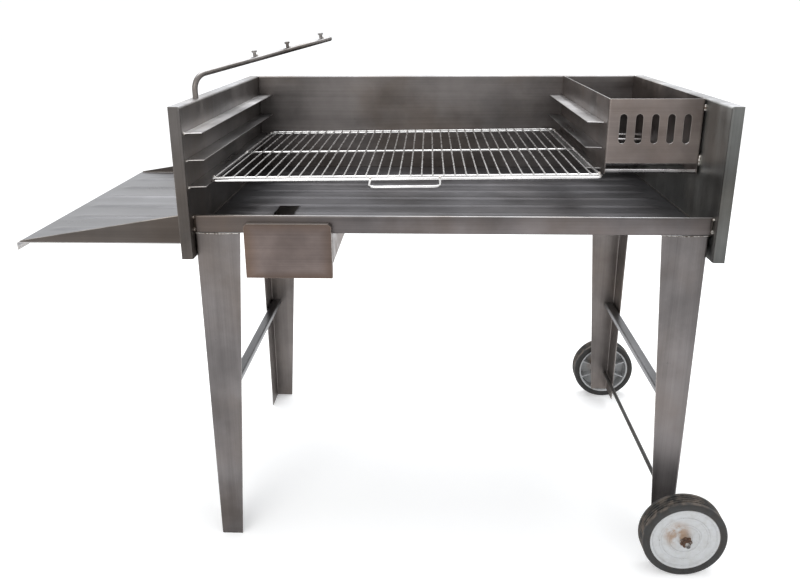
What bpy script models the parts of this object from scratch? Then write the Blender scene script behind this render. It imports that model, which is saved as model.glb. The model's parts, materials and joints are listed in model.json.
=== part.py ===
"""Open-top barbecue stand with a grid, an ember box, an ash drawer, a side shelf and two wheels.

Units are metres, +Z is up and the front faces -Y. The pieces are laid out from the middle of the
firebox's front edge, and then moved so that the origin is on the ground under the middle of the
whole stand. Every piece is one closed, named object.
"""

from math import atan2, cos, pi, sin, tan

import bmesh
import bpy
from mathutils import Matrix, Vector

# ---- Driving dimensions -------------------------------------------------------------------------
WIDTH = 1.100                   # firebox, outside of the side flanges
DEPTH = 0.720                   # firebox, front flange to rear flange
HEIGHT = 1.000                  # ground to the top of the side panels
SHEET = 0.002                   # sheet thickness of every folded piece
BEND = 0.002                    # inside radius of every fold
GAP = 0.0003                    # clearance between touching pieces
FLANGE = 0.023                  # outward flanges of the side panels
CUT = 0.010                     # how far a cutting tool reaches past what it cuts

PANEL_BOTTOM = 0.690
FLOOR_TOP = 0.742
LIP_TOP = 0.778                 # upturned front edge of the fire floor
LIP_FRONT = 0.0235
LIP_HEM = 0.005                 # the lip's top edge is turned inward and down
LIP_HEM_DROP = 0.008
REAR_LIP = 0.028                # rear edge of the fire floor is turned down
WALL_RETURN = 0.011             # top and bottom edges of the back wall turn to the rear
WALL_RETURN_Z = 0.702

LEDGE_WIDTH = 0.035
LEDGE_PITCH = 0.054
LOW_LEDGE_TOP = 0.840
LEDGE_NAMES = ("lower", "middle", "upper")
LEFT_LEDGE_FRONT = 0.012
RIGHT_LEDGE_FRONT = 0.172
LEDGE_CLIP = 0.006              # slant of a ledge's front end
LEDGE_BACK_GAP = 0.003

BOX_LEFT = 0.328                # ember box, outer faces
BOX_FRONT = 0.138
BOX_WALL_GAP = 0.0035           # between the ember box and the right side panel
BOX_SIDE_BOTTOM = 0.842
BOX_FRONT_BOTTOM = 0.866
SLOT_COUNT = 5
SLOT_PITCH = 0.033
SLOT_WIDTH = 0.015
SLOT_HEIGHT = 0.062
SLOT_CENTRE_Z = 0.938
BAR_COUNT = 7
BAR_RADIUS = 0.0042
BAR_PITCH = 0.0825
BAR_FIRST_Y = 0.146
BAR_Z = 0.8475

BEAD_COUNT = 8                  # stiffening beads rolled into the fire floor
BEAD_PITCH = 0.0742
BEAD_FIRST_Y = 0.109
BEAD_END = 0.500
BEAD_WIDTH = 0.022
BEAD_RISE = 0.003

GRID_WIRES = 34
GRID_PITCH = 0.023
GRID_LEFT = -0.4955
GRID_FRONT = 0.052
GRID_DEPTH = 0.656
GRID_RISE = 0.010               # the grid's right side rests this much higher
FRAME_WIRE = 0.006
CROSS_WIRE = 0.005
THIN_WIRE = 0.003
CROSS_PLACES = (0.0275, 0.3255, 0.6235)         # cross wires, from the front of the grid
THIN_WIRE_OVERHANG = 0.002      # past the first and the last cross wire
HANDLE_WIDTH = 0.142
HANDLE_REACH = 0.047
HANDLE_DROOP = 0.005
HANDLE_CENTRE_X = -0.092
HANDLE_CORNER = 0.014
HANDLE_WIRE = 0.0024            # radius

LEG_TOP_WIDTH = 0.0935          # front or rear flange of a leg
LEG_FOOT_WIDTH = 0.048
LEG_TOP_SIDE = 0.092            # side flange of a leg
LEG_FOOT_SIDE = 0.072
FRONT_LEG_Y = 0.0258
REAR_LEG_Y = 0.712
WHEEL_LEG_FOOT = 0.036          # the wheeled legs end above the ground
WHEEL_LEG_INSET = 0.004         # and stand a little inside the panel wall

STRETCHER_TOP = 0.328
STRETCHER_WIDTH = 0.025
STRETCHER_SIDE = 0.012

AXLE_X = 0.5125
AXLE_RADIUS = 0.005
TYRE_RADIUS = 0.0905
DISC_RADIUS = 0.0745
TYRE_WIDTH = 0.046
FRONT_WHEEL_OFFSET = 0.089      # wheel centre from its leg, along the axle
REAR_WHEEL_OFFSET = 0.040
HUB_RADIUS = 0.013
HUB_WIDTH = 0.050
RIM_THICKNESS = 0.004
WEB_THICKNESS = 0.003
WEB_RECESS = 0.005              # outer face of the web, below the rim's edge
RIB_COUNT = 8                   # ribs behind the web
TYRE_SHOULDER = 0.006
RIM_RECESS = 0.003              # edge of the rim, below the tyre's side
WASHER_RADIUS = 0.0105
WASHER_THICKNESS = 0.002
AXLE_NUT_RADIUS = 0.0095
AXLE_NUT_HEIGHT = 0.008
SLEEVE_RADIUS = 0.009
AXLE_OVERHANG = 0.018           # past the outer end of each hub

SHELF_TOP = 0.724
SHELF_OUTER = -0.894
SHELF_UPSTAND = 0.062
SHELF_LIP = 0.016
SHELF_INNER_LIP = 0.028
SHELF_BEADS = 6
SHELF_BEAD_MARGIN = 0.030
SHELF_BOLTS = (0.180, 0.358, 0.536)
BOLT_RADIUS = 0.003
BOLT_HEAD_RADIUS = 0.0055
BOLT_HEAD_HEIGHT = 0.004
BOLT_LENGTH_PAST_NUT = 0.004
NUT_HEIGHT = 0.005

DRAWER_LEFT = -0.421
DRAWER_WIDTH = 0.180
DRAWER_TOP = 0.764
DRAWER_BOTTOM = 0.648
DRAWER_FACE_Y = 0.008
DRAWER_DEPTH = 0.300
DRAWER_CORNER = 0.006
RUNNER_FOOT = 0.015
RUNNER_FRONT = 0.0275
BOX_BOTTOM_Z = 0.676
BOX_TOP_Z = 0.734
ASH_OPENING = (-0.391, -0.345, 0.100, 0.247)    # x from, x to, y from, y to

ARM_X = -0.5383
ARM_Y = 0.150
ARM_RADIUS = 0.006
ARM_REACH = 0.443
ARM_RISE = 0.14                 # slope of the straight run
ARM_PLAN_ANGLE = atan2(0.370, 0.244)
ARM_BEND_RADIUS = 0.030
ARM_BEND_Z = 1.046              # height where the straight run would meet the stub
PEG_PLACES = (0.180, 0.288, 0.408)
PEG_RADIUS = 0.004
PEG_HEIGHT = 0.012
PEG_HEAD_RADIUS = 0.0064
PEG_HEAD_HEIGHT = 0.004
SOCKET_RADIUS = 0.009
SOCKET_BOTTOM = 0.940
SOCKET_FLOOR = 0.005

# ---- Derived places -----------------------------------------------------------------------------
HALF = WIDTH / 2
WALL_IN = HALF - FLANGE         # inner face of a side panel's wall
WALL_OUT = WALL_IN + SHEET
BACK_IN = DEPTH - 2 * SHEET     # inner face of the back wall
FLOOR_BOTTOM = FLOOR_TOP - SHEET
BOX_RIGHT = WALL_IN - BOX_WALL_GAP
AXLE_Z = TYRE_RADIUS
BOLT_Z = SHELF_TOP - SHELF_INNER_LIP * 0.6
ROUND = 16                      # sides of small round pieces

STEEL = ("brushed steel", (0.36, 0.34, 0.32), 0.42, 1.0)
BRIGHT = ("bright wire", (0.78, 0.78, 0.78), 0.22, 1.0)
ZINC = ("zinc fastener", (0.45, 0.45, 0.46), 0.35, 1.0)
RUBBER = ("tyre rubber", (0.045, 0.043, 0.04), 0.85, 0.0)
WHITE = ("white wheel", (0.75, 0.75, 0.74), 0.5, 0.0)


# ---- Materials and object helpers ---------------------------------------------------------------
def material(kind):
    """Return the Principled material of a (name, colour, roughness, metallic) tuple."""
    name, colour, roughness, metallic = kind
    found = bpy.data.materials.get(name)
    if found:
        return found
    made = bpy.data.materials.new(name)
    made.use_nodes = True
    shader = made.node_tree.nodes["Principled BSDF"]
    shader.inputs["Base Color"].default_value = (*colour, 1.0)
    shader.inputs["Roughness"].default_value = roughness
    shader.inputs["Metallic"].default_value = metallic
    return made


def object_from(name, shape, kind, parent=None):
    """Turn a bmesh in world coordinates into a named object with its origin on its parent."""
    bmesh.ops.recalc_face_normals(shape, faces=shape.faces)
    mesh = bpy.data.meshes.new(name)
    shape.to_mesh(mesh)
    shape.free()
    mesh.materials.append(material(kind))
    made = bpy.data.objects.new(name, mesh)
    bpy.context.scene.collection.objects.link(made)
    if parent:
        mesh.transform(Matrix.Translation(-parent.location))
        made.parent = parent
    return made


def empty(name, place):
    """Return an empty that holds a moving group's pieces and marks its joint."""
    made = bpy.data.objects.new(name, None)
    made.location = place
    bpy.context.scene.collection.objects.link(made)
    return made


def smooth(made, angle=pi / 5):
    """Shade a round piece smooth and keep its real edges sharp."""
    made.data.shade_smooth()
    made.data.set_sharp_from_angle(angle=angle)
    return made


# ---- Shapes -------------------------------------------------------------------------------------
def folded(path, thickness=SHEET, radius=BEND, steps=3):
    """Outline of a sheet folded along the middle line `path`, with round bends."""
    points = [Vector(point) for point in path]
    middle = radius + thickness / 2
    side_a = []
    side_b = []

    def add(point, normal):
        side_a.append(point + normal * thickness / 2)
        side_b.append(point - normal * thickness / 2)

    def left(direction):
        return Vector((-direction.y, direction.x))

    add(points[0], left((points[1] - points[0]).normalized()))
    for before, corner, after in zip(points, points[1:], points[2:]):
        inward = (corner - before).normalized()
        onward = (after - corner).normalized()
        turn = atan2(inward.cross(onward), inward.dot(onward))
        start = corner - inward * middle * tan(abs(turn) / 2)
        hand = 1 if turn > 0 else -1
        centre = start + left(inward) * middle * hand
        for step in range(steps + 1):
            angle = turn * step / steps
            normal = Matrix.Rotation(angle, 2) @ left(inward)
            add(centre - normal * middle * hand, normal)
    add(points[-1], left((points[-1] - points[-2]).normalized()))
    return side_a + side_b[::-1]


def rectangle(left, right, low, high):
    return [(left, low), (right, low), (right, high), (left, high)]


def obround(centre_u, centre_v, width, height, steps=6):
    """Outline of an upright slot with round ends."""
    radius = width / 2
    rise = height / 2 - radius
    ends = ((0.0, rise), (pi, -rise))
    return [(centre_u + radius * cos(start + pi * step / steps),
             centre_v + offset + radius * sin(start + pi * step / steps))
            for start, offset in ends for step in range(steps + 1)]


def clipped(left, right, low, high, corner):
    """Outline of a plate whose two top corners are cut off."""
    return [(left, low), (right, low), (right, high - corner), (right - corner, high),
            (left + corner, high), (left, high - corner)]


def prism(shape, outline, axis, low, high):
    """Add a straight extrusion of a 2-D outline along an axis to a bmesh."""
    place = {"x": lambda u, v, s: (s, u, v),
             "y": lambda u, v, s: (u, s, v),
             "z": lambda u, v, s: (u, v, s)}[axis]
    face = shape.faces.new([shape.verts.new(place(u, v, low)) for u, v in outline])
    shift = Vector(place(0.0, 0.0, high - low))
    swept = bmesh.ops.extrude_face_region(shape, geom=[face])
    corners = [item for item in swept["geom"] if isinstance(item, bmesh.types.BMVert)]
    bmesh.ops.translate(shape, vec=shift, verts=corners)
    return shape


def block(shape, x, y, z):
    """Add a box given by its (low, high) pairs to a bmesh."""
    return prism(shape, rectangle(*x, *y), "z", *z)


def taper(foot_outline, top_outline, foot_z, top_z):
    """Return a bmesh lofted between two outlines with the same number of corners."""
    shape = bmesh.new()
    foot = [shape.verts.new((*point, foot_z)) for point in foot_outline]
    top = [shape.verts.new((*point, top_z)) for point in top_outline]
    shape.faces.new(foot)
    shape.faces.new(top)
    count = len(foot)
    for index in range(count):
        after = (index + 1) % count
        shape.faces.new((foot[index], foot[after], top[after], top[index]))
    return shape


def rod(shape, start, end, radius, sides=ROUND):
    """Add a round bar between two points to a bmesh."""
    start = Vector(start)
    end = Vector(end)
    turn = (end - start).to_track_quat("Z", "Y").to_matrix().to_4x4()
    middle = Matrix.Translation((start + end) / 2)
    bmesh.ops.create_cone(shape, cap_ends=True, segments=sides, radius1=radius, radius2=radius,
                          depth=(end - start).length, matrix=middle @ turn)
    return shape


def turned(profile, centre, sides=32):
    """Return a bmesh turned round the Y axis from closed (radius, y) profile points."""
    shape = bmesh.new()
    rings = []
    for step in range(sides):
        angle = 2 * pi * step / sides
        rings.append([shape.verts.new((radius * cos(angle), along, radius * sin(angle)))
                      for radius, along in profile])
    count = len(profile)
    for step in range(sides):
        ring = rings[step]
        following = rings[(step + 1) % sides]
        for index in range(count):
            after = (index + 1) % count
            shape.faces.new((ring[index], ring[after], following[after], following[index]))
    bmesh.ops.translate(shape, vec=centre, verts=shape.verts)
    return shape


def wire(path, radius, sides):
    """Return a bmesh of a capped wire of constant radius through a list of points."""
    shape = bmesh.new()
    points = [Vector(point) for point in path]
    rings = []
    frame = None
    for index, point in enumerate(points):
        before = points[max(index - 1, 0)]
        after = points[min(index + 1, len(points) - 1)]
        ahead = (after - before).normalized()
        if frame is None:
            frame = ahead.orthogonal().normalized()
        frame = (frame - ahead * frame.dot(ahead)).normalized()
        across = ahead.cross(frame)
        rings.append([shape.verts.new(point + radius * (cos(2 * pi * step / sides) * frame
                                                        + sin(2 * pi * step / sides) * across))
                      for step in range(sides)])
    shape.faces.new(rings[0])
    shape.faces.new(rings[-1])
    for ring, following in zip(rings, rings[1:]):
        for step in range(sides):
            after = (step + 1) % sides
            shape.faces.new((ring[step], ring[after], following[after], following[step]))
    return shape


def combine(base, tool, operation):
    """Return the Boolean of two bmeshes as a new bmesh."""
    parts = []
    for shape in (base, tool):
        bmesh.ops.recalc_face_normals(shape, faces=shape.faces)
        mesh = bpy.data.meshes.new("working")
        shape.to_mesh(mesh)
        shape.free()
        made = bpy.data.objects.new("working", mesh)
        bpy.context.scene.collection.objects.link(made)
        parts.append(made)
    change = parts[0].modifiers.new("Boolean", "BOOLEAN")
    change.operation = operation
    change.object = parts[1]
    bpy.context.view_layer.update()
    evaluated = parts[0].evaluated_get(bpy.context.evaluated_depsgraph_get())
    result = bmesh.new()
    result.from_mesh(evaluated.to_mesh())
    evaluated.to_mesh_clear()
    for made in parts:
        mesh = made.data
        bpy.data.objects.remove(made)
        bpy.data.meshes.remove(mesh)
    return result


def hex_nut(start, end, radius, bore):
    """Return a six-sided nut between two points, with a round bore."""
    start = Vector(start)
    end = Vector(end)
    ahead = end - start
    hole = rod(bmesh.new(), start - ahead, end + ahead, bore)
    return combine(rod(bmesh.new(), start, end, radius, sides=6), hole, "DIFFERENCE")


def bead(shape, middle, top, left, right):
    """Add a raised stiffening bead along X, centred on Y `middle`, to a bmesh."""
    foot = BEAD_WIDTH / 2
    level = top - SHEET / 2
    crown = [(middle - foot, level), (middle + foot, level),
             (middle + foot / 2, top + BEAD_RISE), (middle - foot / 2, top + BEAD_RISE)]
    return prism(shape, crown, "x", left, right)


def mirrored(shape):
    """Mirror a bmesh in the YZ plane."""
    bmesh.ops.scale(shape, vec=(-1.0, 1.0, 1.0), verts=shape.verts)
    return shape


# ---- Firebox ------------------------------------------------------------------------------------
def right_panel_shape():
    """Wall with front, rear and top flanges that all turn outward."""
    middle = WALL_IN + SHEET / 2
    upright = folded([(HALF, SHEET / 2), (middle, SHEET / 2),
                      (middle, DEPTH - SHEET / 2), (HALF, DEPTH - SHEET / 2)])
    shape = prism(bmesh.new(), upright, "z", PANEL_BOTTOM, HEIGHT - SHEET - BEND)
    cap = folded([(middle, HEIGHT - 3 * SHEET), (middle, HEIGHT - SHEET / 2),
                  (HALF, HEIGHT - SHEET / 2)])
    shape = combine(shape, prism(bmesh.new(), cap, "y", 0.0, DEPTH), "UNION")
    for flange_y in ((0.0, SHEET), (DEPTH - SHEET, DEPTH)):
        corner = block(bmesh.new(), (WALL_IN + SHEET, HALF), flange_y,
                       (HEIGHT - 3 * SHEET, HEIGHT - SHEET / 2))
        shape = combine(shape, corner, "UNION")
    return shape


def make_side_panels():
    left = mirrored(right_panel_shape())
    hole = rod(bmesh.new(), (ARM_X, ARM_Y, HEIGHT - CUT), (ARM_X, ARM_Y, HEIGHT + CUT),
               ARM_RADIUS + 2 * GAP)
    left = combine(left, hole, "DIFFERENCE")
    bolt_holes = bmesh.new()
    for bolt_y in SHELF_BOLTS:
        rod(bolt_holes, (-WALL_OUT - CUT, bolt_y, BOLT_Z), (-WALL_IN + CUT, bolt_y, BOLT_Z),
            BOLT_RADIUS + GAP)
    object_from("left_side_panel", combine(left, bolt_holes, "DIFFERENCE"), STEEL)
    object_from("right_side_panel", right_panel_shape(), STEEL)


def make_back_wall():
    middle = BACK_IN + SHEET / 2
    rear = middle + WALL_RETURN
    outline = folded([(rear, WALL_RETURN_Z), (middle, WALL_RETURN_Z),
                      (middle, HEIGHT - SHEET / 2), (rear, HEIGHT - SHEET / 2)])
    shape = prism(bmesh.new(), outline, "x", -WALL_IN + GAP, WALL_IN - GAP)
    object_from("back_wall", shape, STEEL)


def make_fire_floor():
    """Floor sheet with a hemmed front lip, a rear edge turned down, beads and the ash opening."""
    front = LIP_FRONT + SHEET / 2
    rear = BACK_IN - GAP - SHEET / 2
    level = FLOOR_TOP - SHEET / 2
    hem = front + LIP_HEM
    lip = LIP_TOP - SHEET / 2
    outline = folded([(hem, LIP_TOP - LIP_HEM_DROP), (hem, lip), (front, lip), (front, level),
                      (rear, level), (rear, FLOOR_TOP - REAR_LIP)], radius=SHEET / 4)
    side = WALL_IN - GAP
    shape = prism(bmesh.new(), outline, "x", -side, side)
    beads = bmesh.new()
    for index in range(BEAD_COUNT):
        bead(beads, BEAD_FIRST_Y + index * BEAD_PITCH, FLOOR_TOP, -BEAD_END, BEAD_END)
    shape = combine(shape, beads, "UNION")
    left, right, near, far = ASH_OPENING
    opening = block(bmesh.new(), (left, right), (near, far), (FLOOR_BOTTOM - CUT, FLOOR_TOP + CUT))
    object_from("fire_floor", combine(shape, opening, "DIFFERENCE"), STEEL)


def ledge(name, wall, hand, front, top):
    """Flat support strip that reaches from X `wall` to the side given by `hand`."""
    edge = wall + hand * LEDGE_WIDTH
    far = BACK_IN - LEDGE_BACK_GAP
    outline = [(wall, front), (edge, front + LEDGE_CLIP), (edge, far), (wall, far)]
    object_from(name, prism(bmesh.new(), outline, "z", top - SHEET, top), STEEL)


def make_ledges():
    """Three support strips on the left wall and three on the ember box."""
    for index, name in enumerate(LEDGE_NAMES):
        top = LOW_LEDGE_TOP + index * LEDGE_PITCH
        ledge(f"left_ledge_{name}", -WALL_IN + GAP, 1, LEFT_LEDGE_FRONT, top)
        if name == "lower":
            top += GRID_RISE - GAP
        ledge(f"ember_box_ledge_{name}", BOX_LEFT - GAP, -1, RIGHT_LEDGE_FRONT, top)


def make_ember_box():
    """One sheet folded round three sides, with vents in the front and bars for a floor."""
    left = BOX_LEFT + SHEET / 2
    right = BOX_RIGHT - SHEET / 2
    front = BOX_FRONT + SHEET / 2
    far = BACK_IN - GAP
    outline = folded([(left, far), (left, front), (right, front), (right, far)])
    shape = prism(bmesh.new(), outline, "z", BOX_SIDE_BOTTOM, HEIGHT)
    below = block(bmesh.new(), (BOX_LEFT + SHEET, BOX_RIGHT - SHEET),
                  (BOX_FRONT - CUT, BOX_FRONT + 2 * SHEET),
                  (BOX_SIDE_BOTTOM - CUT, BOX_FRONT_BOTTOM))
    shape = combine(shape, below, "DIFFERENCE")
    middle = (BOX_LEFT + BOX_RIGHT) / 2
    slots = bmesh.new()
    for index in range(SLOT_COUNT):
        centre = middle + (index - (SLOT_COUNT - 1) / 2) * SLOT_PITCH
        prism(slots, obround(centre, SLOT_CENTRE_Z, SLOT_WIDTH, SLOT_HEIGHT), "y",
              BOX_FRONT - CUT, BOX_FRONT + CUT)
    object_from("ember_box", combine(shape, slots, "DIFFERENCE"), STEEL)
    for index in range(BAR_COUNT):
        bar_y = BAR_FIRST_Y + index * BAR_PITCH
        bar = rod(bmesh.new(), (BOX_LEFT + SHEET + GAP, bar_y, BAR_Z),
                  (BOX_RIGHT - SHEET - GAP, bar_y, BAR_Z), BAR_RADIUS, sides=12)
        smooth(object_from(f"ember_bar_{index + 1}", bar, STEEL))


# ---- Grid ---------------------------------------------------------------------------------------
def make_grid():
    """Welded wire grid: a frame, cross wires, thin wires between them and a U handle in front."""
    slide = empty("grid_slide", (HANDLE_CENTRE_X, GRID_FRONT, LOW_LEDGE_TOP + GAP))
    width = (GRID_WIRES + 1) * GRID_PITCH
    right = GRID_LEFT + width
    far = GRID_FRONT + GRID_DEPTH
    base = LOW_LEDGE_TOP + GAP
    frame = prism(bmesh.new(), rectangle(GRID_LEFT, right, GRID_FRONT, far), "z", base,
                  base + FRAME_WIRE)
    window = block(bmesh.new(), (GRID_LEFT + FRAME_WIRE, right - FRAME_WIRE),
                   (GRID_FRONT + FRAME_WIRE, far - FRAME_WIRE), (base - CUT, base + 2 * CUT))
    grid = combine(frame, window, "DIFFERENCE")
    cross = bmesh.new()
    for place in CROSS_PLACES:
        block(cross, (GRID_LEFT + FRAME_WIRE / 2, right - FRAME_WIRE / 2),
              (GRID_FRONT + place, GRID_FRONT + place + CROSS_WIRE),
              (base + THIN_WIRE / 6, base + CROSS_WIRE))
    grid = combine(grid, cross, "UNION")
    thin = bmesh.new()
    thin_near = GRID_FRONT + CROSS_PLACES[0] - THIN_WIRE_OVERHANG
    thin_far = GRID_FRONT + CROSS_PLACES[-1] + CROSS_WIRE + THIN_WIRE_OVERHANG
    for index in range(GRID_WIRES):
        middle = GRID_LEFT + (index + 1) * GRID_PITCH
        block(thin, (middle - THIN_WIRE / 2, middle + THIN_WIRE / 2), (thin_near, thin_far),
              (base + CROSS_WIRE - GAP, base + CROSS_WIRE - GAP + THIN_WIRE))
    grid = combine(grid, thin, "UNION")
    grid = combine(grid, handle_shape(base), "UNION")
    lean = Matrix.Rotation(-atan2(GRID_RISE, width), 3, "Y")
    bmesh.ops.rotate(grid, cent=(GRID_LEFT, 0.0, base), matrix=lean, verts=grid.verts)
    object_from("grill_grid", grid, BRIGHT, slide)


def handle_shape(base):
    """U of wire in front of the grid that droops a little."""
    half = HANDLE_WIDTH / 2
    level = base + FRAME_WIRE / 2
    radius = HANDLE_CORNER
    near = GRID_FRONT - HANDLE_REACH
    path = [(HANDLE_CENTRE_X - half, GRID_FRONT + FRAME_WIRE / 2, level)]
    for side, start in ((-1, pi), (1, 1.5 * pi)):
        for step in range(5):
            angle = start + pi / 2 * step / 4
            path.append((HANDLE_CENTRE_X + side * (half - radius) + radius * cos(angle),
                         near + radius + radius * sin(angle), level - HANDLE_DROOP))
    path.append((HANDLE_CENTRE_X + half, GRID_FRONT + FRAME_WIRE / 2, level))
    return wire(path, HANDLE_WIRE, 8)


# ---- Legs, stretchers and wheels ----------------------------------------------------------------
def leg_outer(hand_x):
    """Distance of a leg's outer face from the middle of the firebox."""
    return WALL_IN - 2 * GAP - (WHEEL_LEG_INSET if hand_x > 0 else 0.0)


def leg_outline(face_y, hand_x, hand_y, width, side):
    """L section: a flange along X at `face_y` and a side flange, turned into the stand."""
    outer = leg_outer(hand_x) - SHEET / 2
    middle = face_y + hand_y * SHEET / 2
    path = [(hand_x * (outer - width), middle), (hand_x * outer, middle),
            (hand_x * outer, middle + hand_y * side)]
    return folded(path)


def make_legs():
    top = FLOOR_BOTTOM - GAP
    for side_name, hand_x, foot in (("left", -1, 0.0), ("right", 1, WHEEL_LEG_FOOT)):
        for end_name, face_y, hand_y in (("front", FRONT_LEG_Y, 1), ("rear", REAR_LEG_Y, -1)):
            low = leg_outline(face_y, hand_x, hand_y, LEG_FOOT_WIDTH, LEG_FOOT_SIDE)
            high = leg_outline(face_y, hand_x, hand_y, LEG_TOP_WIDTH, LEG_TOP_SIDE)
            shape = taper(low, high, foot, top)
            if hand_x > 0:
                hole = rod(bmesh.new(), (AXLE_X, face_y - CUT, AXLE_Z),
                           (AXLE_X, face_y + CUT, AXLE_Z), AXLE_RADIUS + GAP)
                shape = combine(shape, hole, "DIFFERENCE")
            object_from(f"{side_name}_{end_name}_leg", shape, STEEL)


def make_stretchers():
    """Folded channel on each side, between the front and the rear leg."""
    near = FRONT_LEG_Y + SHEET + GAP
    far = REAR_LEG_Y - SHEET - GAP
    for name, hand in (("left", -1), ("right", 1)):
        outer = leg_outer(hand) - SHEET - BEND
        edge = hand * (outer - SHEET / 2)
        inside = hand * (outer - STRETCHER_WIDTH + SHEET / 2)
        low = STRETCHER_TOP - STRETCHER_SIDE
        outline = folded([(edge, low), (edge, STRETCHER_TOP - SHEET / 2),
                          (inside, STRETCHER_TOP - SHEET / 2), (inside, low)])
        object_from(f"{name}_stretcher", prism(bmesh.new(), outline, "y", near, far), STEEL)


def axle_ends():
    """Y of the front and the rear end of the axle, which are also the stand's own."""
    past_centre = HUB_WIDTH / 2 + AXLE_OVERHANG
    return (FRONT_LEG_Y - FRONT_WHEEL_OFFSET - past_centre,
            REAR_LEG_Y + REAR_WHEEL_OFFSET + past_centre)


def make_axle():
    near, far = axle_ends()
    axle = rod(bmesh.new(), (AXLE_X, near, AXLE_Z), (AXLE_X, far, AXLE_Z), AXLE_RADIUS)
    smooth(object_from("wheel_axle", axle, STEEL))


def ring_profile(inner, outer, low, high):
    return [(inner, low), (outer, low), (outer, high), (inner, high)]


def tyre_profile():
    half = TYRE_WIDTH / 2
    inner = DISC_RADIUS
    edge = half - RIM_RECESS
    return [(inner, -edge), (TYRE_RADIUS - TYRE_SHOULDER, -half),
            (TYRE_RADIUS, -half + TYRE_SHOULDER), (TYRE_RADIUS, half - TYRE_SHOULDER),
            (TYRE_RADIUS - TYRE_SHOULDER, half), (inner, edge)]


def make_disc(outward):
    """Wheel body of hub, web, rim and ribs. `outward` is the side that faces away from the leg."""
    bore = AXLE_RADIUS + GAP
    rim = DISC_RADIUS - GAP
    rim_in = rim - RIM_THICKNESS
    edge = TYRE_WIDTH / 2 - RIM_RECESS
    web_face = outward * (edge - WEB_RECESS)
    web_back = web_face - outward * WEB_THICKNESS
    hub_end = outward * HUB_WIDTH / 2
    profile = [(bore, -hub_end), (HUB_RADIUS, -hub_end), (HUB_RADIUS, web_back),
               (rim_in, web_back), (rim_in, -outward * edge), (rim, -outward * edge),
               (rim, outward * edge), (rim_in, outward * edge), (rim_in, web_face),
               (HUB_RADIUS, web_face), (HUB_RADIUS, hub_end), (bore, hub_end)]
    shape = turned(profile, (0.0, 0.0, 0.0))
    overlap = WEB_THICKNESS / 2
    depth = sorted((web_back + outward * overlap, -outward * (edge - WEB_RECESS)))
    ribs = bmesh.new()
    for index in range(RIB_COUNT):
        rib = block(bmesh.new(), (HUB_RADIUS - overlap, rim_in + overlap), depth,
                    (-WEB_THICKNESS / 2, WEB_THICKNESS / 2))
        turn = Matrix.Rotation(2 * pi * (index + 0.5) / RIB_COUNT, 3, "Y")
        bmesh.ops.rotate(rib, matrix=turn, verts=rib.verts)
        working = bpy.data.meshes.new("working")
        rib.to_mesh(working)
        rib.free()
        ribs.from_mesh(working)
        bpy.data.meshes.remove(working)
    return combine(shape, ribs, "UNION")


def make_wheels():
    wheels = (("front", -1, FRONT_LEG_Y, FRONT_WHEEL_OFFSET),
              ("rear", 1, REAR_LEG_Y, REAR_WHEEL_OFFSET))
    bore = AXLE_RADIUS + GAP
    half_washer = WASHER_THICKNESS / 2
    for name, outward, leg_y, offset in wheels:
        centre = Vector((AXLE_X, leg_y + outward * offset, AXLE_Z))
        spin = empty(f"{name}_wheel_spin", centre)
        smooth(object_from(f"{name}_tyre", turned(tyre_profile(), centre), RUBBER, spin))
        disc = make_disc(outward)
        bmesh.ops.translate(disc, vec=centre, verts=disc.verts)
        smooth(object_from(f"{name}_wheel_disc", disc, WHITE, spin))

        washer_y = centre.y + outward * (HUB_WIDTH / 2 + GAP + half_washer)
        washer = turned(ring_profile(bore, WASHER_RADIUS, -half_washer, half_washer),
                        (AXLE_X, washer_y, AXLE_Z), sides=ROUND)
        smooth(object_from(f"{name}_wheel_washer", washer, ZINC))
        nut_start = Vector((AXLE_X, washer_y + outward * (half_washer + GAP), AXLE_Z))
        nut_end = nut_start + Vector((0.0, outward * AXLE_NUT_HEIGHT, 0.0))
        object_from(f"{name}_axle_nut", hex_nut(nut_start, nut_end, AXLE_NUT_RADIUS, bore), ZINC)

        leg_end = leg_y + outward * GAP - centre.y
        hub_end = -outward * (HUB_WIDTH / 2 + GAP)
        profile = ring_profile(bore, SLEEVE_RADIUS, *sorted((leg_end, hub_end)))
        smooth(object_from(f"{name}_axle_sleeve", turned(profile, centre, sides=ROUND), ZINC))


# ---- Side shelf ---------------------------------------------------------------------------------
def make_shelf():
    """Shelf sheet with tapered upstands front and rear, an outer lip and an inner lip."""
    inner = -WALL_OUT - GAP
    near = SHEET + BEND + GAP
    far = DEPTH - near
    level = SHELF_TOP - SHEET / 2
    lip_in = inner - SHEET / 2
    lip_out = SHELF_OUTER + SHEET / 2
    outline = folded([(lip_in, SHELF_TOP - SHELF_INNER_LIP), (lip_in, level),
                      (lip_out, level), (lip_out, SHELF_TOP - SHELF_LIP)])
    shape = prism(bmesh.new(), outline, "y", near, far)
    left = SHELF_OUTER + 2 * SHEET
    right = inner - 3 * SHEET
    for low in (near, far - SHEET):
        upstand = [(left, level), (right, level), (right, SHELF_TOP + SHELF_UPSTAND),
                   (left, SHELF_TOP + SHEET)]
        shape = combine(shape, prism(bmesh.new(), upstand, "y", low, low + SHEET), "UNION")
    pitch = (far - near) / (SHELF_BEADS + 1)
    beads = bmesh.new()
    for index in range(SHELF_BEADS):
        bead(beads, near + (index + 1) * pitch, SHELF_TOP, SHELF_OUTER + SHELF_BEAD_MARGIN,
             inner - SHELF_BEAD_MARGIN)
    shape = combine(shape, beads, "UNION")
    holes = bmesh.new()
    for bolt_y in SHELF_BOLTS:
        rod(holes, (inner - CUT, bolt_y, BOLT_Z), (inner + CUT, bolt_y, BOLT_Z), BOLT_RADIUS + GAP)
    object_from("side_shelf", combine(shape, holes, "DIFFERENCE"), STEEL)


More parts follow.
